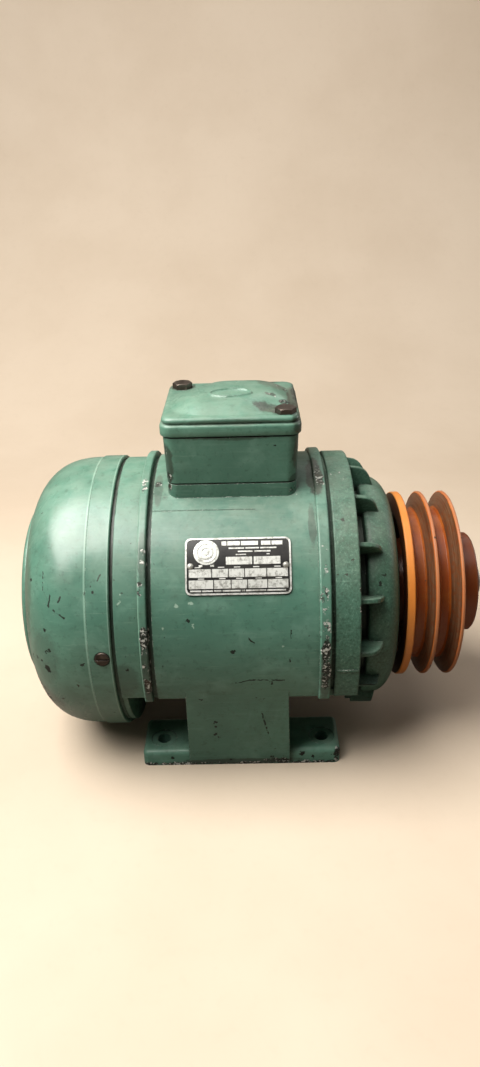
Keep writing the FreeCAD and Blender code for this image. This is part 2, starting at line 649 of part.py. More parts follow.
@piece
def terminal_lid():
    """Lid with a two-step lip, flat bolt corners and a crowned pillow."""
    lip = rounded_prism(LID, LID_Z, LID_Z + 9.0, 9.5)
    lip = round_edges(lip, lambda e: e.BoundBox.ZLength < 1e-3, 1.6)
    upper = rounded_loft(inset(LID, 1.3), LID_Z + 6.0, 8.5, inset(LID, 1.8), LID_FLAT_Z, 8.0)
    upper = round_edges(upper, lambda e: abs(e.BoundBox.ZMin - LID_FLAT_Z) < 1e-3, 3.6)
    sphere_r = 330.0
    centre = Vector(BOX_X, 0, LID_CROWN_Z - sphere_r)
    lid = fuse(lip, upper, lid_pillow(sphere_r, centre))
    lid = fuse(lid, lid_oval(sphere_r, centre))
    hollow = rounded_loft(inset(LID, 7.2, 6.6), LID_Z - 0.5, 6.0,
                          inset(LID, 8.5, 8), LID_FLAT_Z - 4.0, 6.0)
    hollow = hollow.cut(rods_at(LID_BOLTS, 9.5, LID_Z - 5, LID_Z + 35))
    return cut(lid, hollow, rods_at(LID_BOLTS, 4.0, LID_Z - 10, LID_Z + 50),
               rods_at(LID_BOLTS, 9.2, LID_SEAT_Z, LID_SEAT_Z + 20))


@piece
def lid_bolts():
    bolt = hex_bolt(14.0, 4.6, 3.9, LID_FLAT_Z - BOX_TOP_Z + 19.3)
    return place_all(bolt, LID_BOLTS, LID_SEAT_Z)


# ----------------------------------- terminal block, six studs and their leads
STUD_X, STUD_Y = (2.0, 20.0), (-16.0, 0.0, 16.0)
STUDS = [(x, y) for x in STUD_X for y in STUD_Y]
BLOCK_TOP_Z = BLOCK_Z + 9
LINK_Z0, LINK_Z1 = BLOCK_Z + 12.6, BLOCK_Z + 13.8
# (column, row) of the stud each lead ends on; columns run along X, rows along Y
LEADS = [(column, row) for row in range(3) for column in range(2)]
LEAD_PITCH = 3.2                      # across the slot in the frame
BARREL_RISE = 1.9                     # lug barrel axis above the lug


@piece
def terminal_block():
    block = rounded_prism((-18, 40, -25, 25), BLOCK_Z, BLOCK_TOP_Z, 3.0)
    block = block.cut([box(6.8, 15.2, -26, 26, BLOCK_Z + 6, BLOCK_Z + 10)])
    block = fuse(block, [box(-6, 28, y - 1.2, y + 1.2, BLOCK_Z + 5, BLOCK_Z + 14)
                         for y in (-8.0, 8.0)])
    return cut(block, rods_at(STUDS, 2.5, BLOCK_Z - 1, BLOCK_Z + 11),
               rods_at(BLOCK_SCREWS, 2.2, BLOCK_Z - 1, BLOCK_Z + 19),
               rods_at(STUDS, 4.4, BLOCK_Z - 0.5, BLOCK_Z + 3.5))


@piece
def terminal_block_screws():
    return place_all(slot_screw(4.0, 2.8, 2.0, 14.5, 1.1), BLOCK_SCREWS, BLOCK_TOP_Z)


@piece
def terminal_studs():
    stud = fuse(hex_prism(7.4, 0.2, 3.3, chamfer=False), rod_z(2.45, 0.2, 23.0))
    return place_all(stud, STUDS, BLOCK_Z)


@piece
def terminal_nuts():
    nut = hex_prism(8.0, 0, 3.6, 2.5)
    return place_all(nut, STUDS, BLOCK_TOP_Z) + place_all(nut, STUDS, BLOCK_Z + 15.0)


@piece
def link_bars():
    bars = []
    for y in STUD_Y:
        bar = rounded_prism((STUD_X[0] - 5, STUD_X[1] + 5, y - 4.4, y + 4.4),
                            LINK_Z0, LINK_Z1, 4.2)
        holes = rods_at([(x, y) for x in STUD_X], 2.6, BLOCK_Z + 11, BLOCK_Z + 17)
        bars.append(bar.cut(holes))
    return bars


def lug_heading(column, row):
    """Direction of a lug's tail, in degrees from +X."""
    if column == 0:
        return 180.0
    return (-90.0, 0.0, 90.0)[row]


def lead_lug(column, row):
    """Eye on the stud, tail and crimp barrel towards the wire."""
    bore = rod_x(1.45, 6.0, 14.0, BARREL_RISE)
    barrel = rod_x(1.9, 7.0, 13.0, BARREL_RISE).cut(bore)
    lug = fuse(rod_z(4.2, 0, 1.0), box(2.0, 8.5, -1.7, 1.7, 0.0, 1.0))
    lug = lug.cut(rod_x(1.9, 7.0, 15.0, BARREL_RISE)).cut(rod_z(2.6, -1, 2))
    lug = fuse(lug, barrel)
    lug.rotate(Vector(0, 0, 0), AXIS_Z, lug_heading(column, row))
    lug.translate(Vector(STUD_X[column], STUD_Y[row], LINK_Z1))
    return lug


def lead_wire(column, row):
    """Wire from the frame slot up through the box floor into its lug."""
    stud = Vector(STUD_X[column], STUD_Y[row], LINK_Z1 + BARREL_RISE)
    heading = lug_heading(column, row)
    entry, mid, end = [stud + polar(reach, heading) for reach in (15.5, 12.4, 9.0)]
    y0 = -8.0 + LEAD_PITCH * LEADS.index((column, row))
    points = [Vector(-57.2, y0, SHAFT_Z + 81.5), Vector(-56.2, y0, SHAFT_Z + 92.0),
              Vector(-48.0, y0, SHAFT_Z + 100.5), Vector(-37.0, y0, SHAFT_Z + 107.0),
              Vector(-30.5, y0 * 1.2, SHAFT_Z + 119.0)]
    if column == 0:
        route = [(-24.0, (y0 + stud.y) / 2, 0.5)]
    elif row == 1:
        # over the block, then back to the middle stud from the +X side
        route = [(-28.5, 10.8, 7.2), (-18.0, 8.3, 10.5), (10.0, 8.3, 10.5), (34.5, 8.0, 7.5),
                 (40.2, 1.2, 2.6)]
        entry = entry + Vector(0.3, 0, 0.05)
    else:
        side = row - 1.0
        route = [(-25.0, y0 + side * 12, 2.0), (-14.0, side * 33.0, 1.2),
                 (4.0, side * 37.5, 1.6), (16.0, side * 37.0, 1.8)]
    points += [Vector(x, y, LINK_Z1 + z) for x, y, z in route] + [entry, mid, end]
    section = Part.Wire([Part.makeCircle(1.25, points[0], points[1] - points[0])])
    return rounded_path(points).makePipeShell([section], True, False)


@piece
def lead_lugs():
    return [lead_lug(*lead).cut(lead_wire(*lead)) for lead in LEADS]


@piece
def lead_wires():
    return [lead_wire(*lead) for lead in LEADS]


@piece
def earth_screw():
    return place(slot_screw(4.4, 3.2, 2.45, 6.0, 1.2), (*EARTH_SCREW[0], EARTH_Z))


# ------------------------------------------------ cable gland on the +Y wall
@piece
def cable_gland_body():
    body = fuse(place(hex_prism(26.0, 0, 7.0), (GLAND_X, GLAND_Y, GLAND_Z), AXIS_Y),
                gland_rod(9.9, -8.5, 0.5), gland_rod(10.9, 6.5, 14.5))
    return cut(body, gland_rod(6.6, -15, 25), gland_rod(9.0, 1, 21))


@piece
def cable_gland_seal():
    return gland_rod(8.9, 1.05, 15.05).cut(gland_rod(6.0, -5, 25))


@piece
def cable_gland_nut():
    nut = place(hex_prism(26.0, 0, 10.5), (GLAND_X, GLAND_Y + 7.2, GLAND_Z), AXIS_Y)
    return cut(nut, gland_rod(11.0, 7.2, 15.15), gland_rod(6.6, 0, 30))


# ---------------------------------------------------------------- nameplate
@piece
def nameplate():
    plate = rounded_prism(rectangle(PLATE_X, 0, PLATE_HALF_X, PLATE_HALF_Y),
                          SHAFT_Z + 100, SHAFT_Z + 130, 4.0)
    plate = plate.common(tube(PLATE_X - 60, PLATE_X + 60, FRAME_R, FRAME_R + 0.9))
    plate = plate.cut([radial_rod(RIVET_HOLE_R, x, 95, 135) for x in RIVET_X])
    return at_angle(plate, PLATE_ANGLE)


@piece
def nameplate_rivets():
    head = Part.makeSphere(2.6, Vector(0, 0, -1.1)).common(rod_z(3.0, 0, 3))
    rivet = head.fuse(rod_z(1.2, -5.0, 0.0)).removeSplitter()
    return [at_angle(place(rivet, (x, 0, SHAFT_Z + FRAME_R + 0.92)), PLATE_ANGLE)
            for x in RIVET_X]


# ------------------------------------------------------- stator active parts
CORE_X = 50.0                         # half length of the stator and rotor cores
SLOT_COUNT = 24


@piece
def stator_core():
    slot = radial_box(-CORE_X - 1, CORE_X + 1, 7.2, 54.5, 72)
    mouth = radial_box(-CORE_X - 1, CORE_X + 1, 2.8, 50, 55)
    return cut(tube(-CORE_X, CORE_X, 52.5, BORE_R - 0.02),
               spin_all(slot, SLOT_COUNT), spin_all(mouth, SLOT_COUNT))


def end_coil(side):
    """Rounded coil ring past the +X (side = 1) or -X (side = -1) core end."""
    def station(beyond, radius):
        return side * (CORE_X + beyond), radius

    return revolved([station(0.4, 57.0), station(0.4, 73.0),
                     [station(4, 76.5), station(9, 79.6), station(14, 79.0),
                      station(17.6, 74.0), station(18.2, 67.0), station(16.6, 60.5),
                      station(11, 57.0)]])


@piece
def stator_winding():
    bar = radial_box(-CORE_X - 4, CORE_X + 4, 6.4, 56.5, 71.6)
    return fuse(end_coil(1), end_coil(-1), spin_all(bar, SLOT_COUNT))


@piece
def tie_bolts():
    bolt = place(hex_bolt(10.0, 4.2, 2.95, 166.0), (-88.0, 0, SHAFT_Z + TIE_R), -AXIS_X)
    return at_angles(bolt, TIE_ANGLES)


# --------------------------------------------------------------- rotor group
BAR_COUNT = 28
BAR_Z = SHAFT_Z + 47.3                # cage bar axis, before turning


@piece
def rotor_core():
    hole = rod_x(2.65, -CORE_X - 1, CORE_X + 1, BAR_Z)
    return cut(tube(-CORE_X, CORE_X, 17.5, 52.1), spin_all(hole, BAR_COUNT))


@piece
def rotor_cage():
    end_rings = [tube(CORE_X + 0.02, CORE_X + 10, 38, 51.8),
                 tube(-CORE_X - 10, -CORE_X - 0.02, 38, 51.8)]
    bars = spin_all(rod_x(2.6, -CORE_X - 3, CORE_X + 3, BAR_Z), BAR_COUNT)
    fins = []
    for i in range(8):
        for x0, x1 in ((CORE_X + 9, CORE_X + 17), (-CORE_X - 17, -CORE_X - 9)):
            fins.append(spin(radial_box(x0, x1, 3.2, 39.5, 50.5), i * 45.0))
    return fuse(end_rings, bars, fins)


SHAFT_END_R = 14.0
SHAFT_TIP = 205.0
PULLEY_KEY_X, PULLEY_KEY_W = (138.0, 188.0), 8.0
FAN_KEY_X, FAN_KEY_W = (-138.0, -116.0), 5.0
KEY_PLAY = 0.02
SHAFT = [                             # (x, radius)
    (-148, 0), (-148, 9.2), (-147.2, 10), (-112, 10), (-112, 12.49), (-78.8, 12.49),
    (-78.8, 15.5), (-52, 15.5), (-52, 17.48), (52, 17.48), (55, 19.5), (98, 19.5),
    (101.5, 18.5), (101.5, 14.99), (130.9, 14.99), (130.9, SHAFT_END_R - 0.01),
    (SHAFT_TIP - 1.2, SHAFT_END_R - 0.01), (SHAFT_TIP, SHAFT_END_R - 1.2), (SHAFT_TIP, 0)]


def round_ended_key(x_ends, width, r0, r1):
    x0, x1 = x_ends[0] + width / 2, x_ends[1] - width / 2
    return fuse(radial_box(x0, x1, width, r0, r1),
                [radial_rod(width / 2, x, r0, r1) for x in (x0, x1)])


@piece
def shaft():
    return cut(revolved(SHAFT), round_ended_key(PULLEY_KEY_X, PULLEY_KEY_W, 10.0, 20.0),
               round_ended_key(FAN_KEY_X, FAN_KEY_W, 7.0, 14.0),
               tube(-143.3, -141.9, 9.4, 14.0),          # circlip groove
               rod_x(3.4, SHAFT_TIP - 22, SHAFT_TIP + 2),    # centre hole and countersink
               Part.makeCone(3.4, 5.6, 2.4, Vector(SHAFT_TIP - 2.3, 0, SHAFT_Z), AXIS_X))


@piece
def pulley_key():
    return round_ended_key(PULLEY_KEY_X, PULLEY_KEY_W - KEY_PLAY, 10.02, 17.0)


@piece
def fan_key():
    return round_ended_key(FAN_KEY_X, FAN_KEY_W - KEY_PLAY, 7.02, 12.0)


# ------------------------- pulley: two V grooves, dished web, long hub
RIM_R, GROOVE_R = 78.6, 62.8
SET_SCREW_X = 185.0
PULLEY = [                            # (x, radius)
    (130.9, RIM_R - 0.8), (131.7, RIM_R), (136.4, RIM_R), (137.2, RIM_R - 0.8),
    (141.0, GROOVE_R + 0.5), (141.6, GROOVE_R), (147.7, GROOVE_R), (148.3, GROOVE_R + 0.5),
    (153.2, RIM_R - 0.5), (153.7, RIM_R), (155.2, RIM_R), (155.7, RIM_R - 0.5),
    (159.8, GROOVE_R + 0.5), (160.4, GROOVE_R), (166.2, GROOVE_R), (166.8, GROOVE_R + 0.5),
    (173.2, RIM_R - 0.5), (173.7, RIM_R), (174.9, RIM_R), (175.5, RIM_R - 0.6),
    (175.5, 61.0), (173.5, 58.5), (166.0, 56.0), (164.5, 53.0), (164.5, 46.0), (166.5, 43.2),
    (170, 42.1), (194.6, 42.1), (196.0, 40.7), (196.0, 16.2), (194.2, SHAFT_END_R + 0.01),
    (132.4, SHAFT_END_R + 0.01), (130.95, 15.4), (130.9, 36.0), (132.0, 37.0), (148.0, 40.0),
    (149.5, 43.0), (149.5, 52.0), (148.0, 55.0), (132.0, 60.5), (130.9, 62.0)]


@piece
def pulley():
    return cut(revolved(PULLEY), radial_box(125, 200, PULLEY_KEY_W, 8, 17.25),
               radial_rod(4.05, SET_SCREW_X, 12, 52))


@piece
def pulley_set_screw():
    screw = rod_z(4.0, 0, 12.0).cut(hex_prism(4.0, 7.0, 13.0, chamfer=False))
    screw = round_edges(screw, flat_at(0), 0.9, chamfer=True)
    return place(screw, (SET_SCREW_X, 0, SHAFT_Z + 17.02))


# ------------------------- fan: hub, back disc and eight straight blades
FAN_BORE_R = 10.02
FAN_HUB = [                           # (x, radius)
    (-140, FAN_BORE_R), (-140, 17), (-138, 19), (-120, 21), (-117, 24), (-115.6, 30),
    (-114.8, 86), (-112.3, 86), (-112.3, 14), (-114, FAN_BORE_R)]
FAN_BLADE = [                         # (x, radius)
    (-114, 30), (-114, 86), (-118, 91), (-143, 91), (-145, 88), (-143, 58), (-134, 44),
    (-120, 36)]


@piece
def fan():
    wheel = fuse(revolved(FAN_HUB), spin_all(radial_plate(FAN_BLADE, 2.5), 8, 22.5))
    return cut(wheel, radial_box(-142, -111, FAN_KEY_W, 5, 12.2),
               rod_x(FAN_BORE_R, -145, -105))


@piece
def fan_circlip():
    return tube(-143.2, -142.0, 9.42, 12.6).cut(radial_box(-150, -130, 4.4, -20, 0))


# -------------------------------------------------------------------- bearings
def bearing(x0, width, bore_d, outer_d, ball_d, count):
    """Deep-groove ball bearing starting at x0; returns its pieces by name."""
    pitch_r = (bore_d + outer_d) / 4.0
    ball_r = ball_d / 2.0
    bore_r, outer_r = bore_d / 2.0, outer_d / 2.0 - 0.01
    x1, mid_x = x0 + width, x0 + width / 2.0
    groove = Part.makeTorus(pitch_r, ball_r + 0.05, Vector(mid_x, 0, SHAFT_Z), AXIS_X)
    shoulder = ball_r * 0.62
    inner = tube(x0, x1, bore_r, pitch_r - shoulder).cut(groove)
    outer = tube(x0, x1, pitch_r + shoulder, outer_r).cut(groove)
    inner = round_edges(inner, on_circles((x0, bore_r), (x1, bore_r)), 0.8)
    outer = round_edges(outer, on_circles((x0, outer_r), (x1, outer_r)), 1.0)
    centre = Vector(mid_x, 0, SHAFT_Z + pitch_r)
    pockets = spin_all(Part.makeSphere(ball_r + 0.08, centre), count)
    cage_half = ball_r + 1.2
    cage = tube(mid_x - cage_half, mid_x + cage_half, pitch_r - 1.3, pitch_r + 1.3)
    return {"outer_ring": outer, "inner_ring": inner,
            "balls": spin_all(Part.makeSphere(ball_r, centre), count),
            "cage": cage.cut(pockets)}


# Outlines of the bearing caps, (x, radius)
DRIVE_CAP = [
    (120.52, 31.0), (120.52, 35.9), (121.02, 35.9), (121.02, 52.0), (122.0, 52.5),
    (125.4, 52.5), (126.4, 51.5), (126.4, 34.0), (128.6, 30.0), (128.6, 15.4), (126.0, 15.4),
    (126.0, 19.2), (123.0, 19.2), (123.0, 15.4), (121.2, 15.4), (121.2, 27.0)]
DRIVE_INNER_CAP = [
    (101.48, 31.0), (101.48, 35.9), (99.48, 35.9), (99.48, 49.5), (94.5, 49.5), (93.5, 48.5),
    (93.5, 20.0), (96.5, 20.0), (98.5, 27.0)]
FAN_CAP = [(-97.02, 12.9), (-97.02, 42.5), (-100.0, 42.5), (-101.0, 41.5), (-101.0, 12.9)]


@piece
def drive_bearing_cap():
    return cut(revolved(DRIVE_CAP), at_angles(rod_x(3.0, 115, 135, CAP_BOLT_Z), CAP_ANGLES))


@piece
def drive_bearing_inner_cap():
    return cut(revolved(DRIVE_INNER_CAP),
               at_angles(rod_x(3.0, 85, 105, CAP_BOLT_Z), CAP_ANGLES))


@piece
def bearing_cap_screws():
    screw = place(hex_bolt(10.0, 3.8, 2.95, 32.5), (126.42, 0, CAP_BOLT_Z), AXIS_X)
    return at_angles(screw, CAP_ANGLES)


@piece
def shaft_seal():
    return tube(123.05, 125.95, 15.05, 19.15)


@piece
def fan_bearing_cap():
    return cut(revolved(FAN_CAP),
               at_angles(rod_x(2.6, -104, -92, FAN_CAP_BOLT_Z), FAN_CAP_ANGLES),
               tube(-98.9, -97.0, 12.8, 17.5))


@piece
def fan_bearing_cap_screws():
    screw = place(slot_screw(4.4, 3.0, 2.45, 14.5, 1.2), (-101.02, 0, FAN_CAP_BOLT_Z), -AXIS_X)
    return at_angles(screw, FAN_CAP_ANGLES)


@piece
def wave_washer():
    """Thin ring notched alternately on its two faces."""
    return tube(-78.95, -77.25, 25.2, 30.7).cut(
        spin_all(radial_box(-78.35, -77.2, 9, 24, 32), 6)).cut(
        spin_all(radial_box(-79.0, -77.85, 9, 24, 32), 6, 30.0))


# ------------------------------------------------------------------ export
for build in BUILDERS:
    save(build.__name__, build())

BEARINGS = {                          # x0, width, bore, outside and ball diameters, balls
    "drive": (101.5, 19.0, 30.0, 72.0, 12.3, 8),
    "fan": (-96.0, 17.0, 25.0, 62.0, 11.5, 7)}
for machine_end, sizes in BEARINGS.items():
    for part_name, part_shape in bearing(*sizes).items():
        save("%s_bearing_%s" % (machine_end, part_name), part_shape)
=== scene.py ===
"""Looks of an old belt-drive electric motor in worn green enamel.

The shaft lies along X, SHAFT_Z above the floor. The orange pulley is at +X, the fan cover at
-X and the terminal box on top. The nameplate and the camera are on the -Y side. Metres, +Z up.
"""
import math
from functools import reduce

import bpy
import bmesh
from mathutils import Matrix, Vector


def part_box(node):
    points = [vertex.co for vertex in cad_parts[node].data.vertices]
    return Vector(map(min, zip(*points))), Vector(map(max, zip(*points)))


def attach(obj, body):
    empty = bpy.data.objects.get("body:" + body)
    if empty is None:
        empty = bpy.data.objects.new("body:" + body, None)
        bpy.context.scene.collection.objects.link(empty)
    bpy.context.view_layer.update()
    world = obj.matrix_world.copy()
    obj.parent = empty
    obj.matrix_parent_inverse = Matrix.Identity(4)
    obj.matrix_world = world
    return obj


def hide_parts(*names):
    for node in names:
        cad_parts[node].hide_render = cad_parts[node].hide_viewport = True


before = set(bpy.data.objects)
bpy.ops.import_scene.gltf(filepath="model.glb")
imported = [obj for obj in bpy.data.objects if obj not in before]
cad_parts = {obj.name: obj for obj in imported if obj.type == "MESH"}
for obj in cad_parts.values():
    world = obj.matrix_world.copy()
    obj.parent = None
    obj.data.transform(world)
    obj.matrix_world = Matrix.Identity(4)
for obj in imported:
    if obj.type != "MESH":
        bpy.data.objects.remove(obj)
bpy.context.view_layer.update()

SHAFT_Z = 0.120
BARREL_R = 0.115               # outside of the stator frame
SCENE = bpy.context.scene


# ------------------------------------------------------------------ shader kit
class Signal:
    """A shader output that can be used in arithmetic; each operation adds a node."""

    def __init__(self, graph, socket):
        self.graph = graph
        self.socket = socket

    def __add__(self, other):
        return self.graph.math("ADD", self, other)

    def __radd__(self, other):
        return self.graph.math("ADD", other, self)

    def __sub__(self, other):
        return self.graph.math("SUBTRACT", self, other)

    def __rsub__(self, other):
        return self.graph.math("SUBTRACT", other, self)

    def __mul__(self, other):
        return self.graph.math("MULTIPLY", self, other)

    def __abs__(self):
        return self.graph.math("ABSOLUTE", self)

    def max(self, other):
        return self.graph.math("MAXIMUM", self, other)

    def ramp(self, start, end, out_start=0.0, out_end=1.0, smooth=True):
        """Map start..end to out_start..out_end, clamped."""
        return self.graph.node("MapRange", (self, start, end, out_start, out_end),
                               interpolation_type="SMOOTHSTEP" if smooth else "LINEAR")

    def tint(self, colour, amount):
        """Blend this colour towards another."""
        return self.graph.mix(amount, self, colour)


class Graph:
    """A material and its node graph; inputs may be Signals, numbers or tuples."""

    def __init__(self, name):
        self.material = bpy.data.materials.new(name)
        self.material.use_nodes = True
        self.tree = self.material.node_tree
        self.tree.nodes.clear()
        output = self.tree.nodes.new("ShaderNodeOutputMaterial")
        self.bsdf = self.tree.nodes.new("ShaderNodeBsdfPrincipled")
        self.tree.links.new(self.bsdf.outputs[0], output.inputs[0])
        self.pos = self.node("TexCoord", output="Object")

    def put(self, socket, value):
        if isinstance(value, Signal):
            self.tree.links.new(value.socket, socket)
        elif socket.type == "RGBA":
            socket.default_value = (*value, 1.0)
        else:
            socket.default_value = value

    def set(self, name, value):
        self.put(self.bsdf.inputs[name], value)

    def node(self, kind, inputs=(), output=0, **settings):
        """Add a node; inputs is a dict or a sequence, output a key or a tuple of keys."""
        node = self.tree.nodes.new("ShaderNode" + kind)
        for name, value in settings.items():
            setattr(node, name, value)
        pairs = inputs.items() if isinstance(inputs, dict) else enumerate(inputs)
        for key, value in pairs:
            self.put(node.inputs[key], value)
        if isinstance(output, tuple):
            return [Signal(self, node.outputs[key]) for key in output]
        return Signal(self, node.outputs[output])

    def math(self, operation, first, second=0.0, clamp=False):
        return self.node("Math", (first, second, 0.0), operation=operation, use_clamp=clamp)

    def vmath(self, operation, *vectors):
        scalar = operation in ("LENGTH", "DISTANCE", "DOT_PRODUCT")
        return self.node("VectorMath", vectors, "Value" if scalar else "Vector",
                         operation=operation)

    def scale(self, vector, factor):
        return self.node("VectorMath", {0: vector, 3: factor}, "Vector", operation="SCALE")

    def sep(self, vector):
        return self.node("SeparateXYZ", (vector,), (0, 1, 2))

    def comb(self, x, y, z):
        return self.node("CombineXYZ", (x, y, z))

    def noise(self, scale, detail=3.0, rough=0.55, vec=None, distortion=0.0, colour=False):
        inputs = {"Vector": vec or self.pos, "Scale": scale, "Detail": detail,
                  "Roughness": rough, "Distortion": distortion}
        return self.node("TexNoise", inputs, 1 if colour else 0)

    def voronoi(self, scale, vec):
        return self.node("TexVoronoi", {"Vector": vec, "Scale": scale}, ("Distance", "Color"))

    def mix(self, factor, first, second):
        return self.node("Mix", {0: factor, 6: first, 7: second}, 2,
                         data_type="RGBA", blend_type="MIX", clamp_factor=True)

    def bevel(self, radius, samples=4):
        return self.node("Bevel", {"Radius": radius}, samples=samples)

    def normal(self):
        return self.node("NewGeometry", output="Normal")

    def occlusion(self, distance, samples=4):
        return self.node("AmbientOcclusion", {"Distance": distance}, "AO", samples=samples)

    def bump(self, height, normal=None):
        inputs = {"Strength": 1.0, "Distance": 1.0, "Height": height}
        if normal is not None:
            inputs["Normal"] = normal
        return self.node("Bump", inputs)

    def stretch(self, x, y, z):
        """Position scaled per axis; a small factor draws the texture out along that axis."""
        return self.vmath("MULTIPLY", self.pos, (x, y, z))

    def warp(self, offset, amount):
        return self.vmath("ADD", self.pos, self.scale(offset, amount))

    def radial(self):
        """x and the distance from the shaft's axis."""
        x, y, z = self.sep(self.pos)
        rise = z - SHAFT_Z
        return x, self.math("SQRT", y * y + rise * rise)

    def angle(self):
        """Angle around the shaft's axis."""
        y = self.sep(self.pos)[1]
        rise = self.sep(self.pos)[2] - SHAFT_Z
        return self.math("ARCTAN2", y, rise)

    def blob(self, centre, radii, inner=0.35):
        """1 inside an ellipsoid, fading to 0 at its skin."""
        offset = self.vmath("SUBTRACT", self.pos, centre)
        offset = self.vmath("DIVIDE", offset, radii)
        return self.vmath("LENGTH", offset).ramp(inner, 1.0, 1.0, 0.0)

    def segment_distance(self, point, start, end):
        start = Vector(start)
        along = Vector(end) - start
        offset = self.vmath("SUBTRACT", point, tuple(start))
        part = self.math("DIVIDE", self.vmath("DOT_PRODUCT", offset, tuple(along)),
                         along.length_squared, clamp=True)
        foot = self.scale(tuple(along), part)
        return self.vmath("LENGTH", self.vmath("SUBTRACT", offset, foot))

    def edges(self, rounded, normal, start=0.80):
        """1 where the bevelled normal leaves the true one."""
        return self.vmath("DOT_PRODUCT", rounded, normal).ramp(start, 0.985, 1.0, 0.0)

    def flakes(self, distance, radius, fade):
        """Spots of a varying radius around Voronoi centres; a radius near 0 gives none."""
        return (distance - radius).ramp(-0.03, 0.0, 1.0, 0.0) * radius.ramp(0.0, fade)


def srgb(*channels):
    """Linear colour from 0-255 sRGB channels."""
    def linear(channel):
        part = channel / 255.0
        return part / 12.92 if part <= 0.04045 else ((part + 0.055) / 1.055) ** 2.4
    return tuple(linear(channel) for channel in channels)


# ---------------------------------------------------------------- green enamel
# In the materials a ramp's first two numbers are where a mask starts and ends,
# and the factor after it is the mask's strength. Bump heights are in metres.
GREEN = srgb(94, 141, 121)
GREEN_DARK = srgb(75, 117, 100)
GREEN_LIGHT = srgb(128, 168, 150)
PRIMER = srgb(27, 34, 27)
RUST = srgb(52, 38, 26)
BARE_IRON = srgb(206, 208, 200)
# scattered specks: Voronoi scale, threshold, largest radius in cells
SPECKS = ((70.0, 0.95, 0.17), (150.0, 0.91, 0.20), (330.0, 0.91, 0.26))


def enamel(mat, big, mid, streak, base, dark, light):
    """Green that drifts in tone, with stains, fine scratches and brush streaks."""
    stain = mat.noise(13.0, 6.0, 0.72, distortion=0.4)
    scratch = mat.noise(1.0, 4.0, 0.7, mat.stretch(30.0, 620.0, 620.0))
    col = mat.mix(big.ramp(0.36, 0.66), dark, base)
    col = col.tint(light, mid.ramp(0.5, 0.78) * 0.42)
    col = col.tint(srgb(54, 88, 74), stain.ramp(0.50, 0.70) * 0.36)
    col = col.tint(srgb(150, 180, 160), scratch.ramp(0.60, 0.72) * 0.26)
    return col.tint(light, streak.ramp(0.52, 0.74) * 0.16)


def lost_flakes(mat, jitter, ragged, specks, speck_size, chips, scratches):
    """Mask of scattered specks, placed chips and placed scratches."""
    masks = []
    cluster = mat.noise(19.0, 2.0, 0.5).ramp(0.46, 0.64)
    speck_pos = mat.warp(jitter, 0.0035)
    for scale, threshold, size in SPECKS:
        distance, colour = mat.voronoi(scale, speck_pos)
        chance = mat.sep(colour)[0] + cluster * (0.10 * specks)
        radius = chance.ramp(threshold, 1.08, 0.0, size * speck_size, smooth=False)
        masks.append(mat.flakes(distance, radius, fade=0.03) * specks)
    for centre, radius in chips:
        distance = mat.vmath("DISTANCE", ragged, centre)
        masks.append(distance.ramp(radius * 0.80, radius, 1.0, 0.0))
    if scratches:
        scratch_pos = mat.warp(jitter, 0.0022)
        broken = mat.noise(240.0, 2.0, 0.5).ramp(0.36, 0.46)
    for start, end, width in scratches:
        distance = mat.segment_distance(scratch_pos, start, end)
        masks.append(distance.ramp(width * 0.5, width, 1.0, 0.0) * broken)
    return reduce(Signal.max, masks)


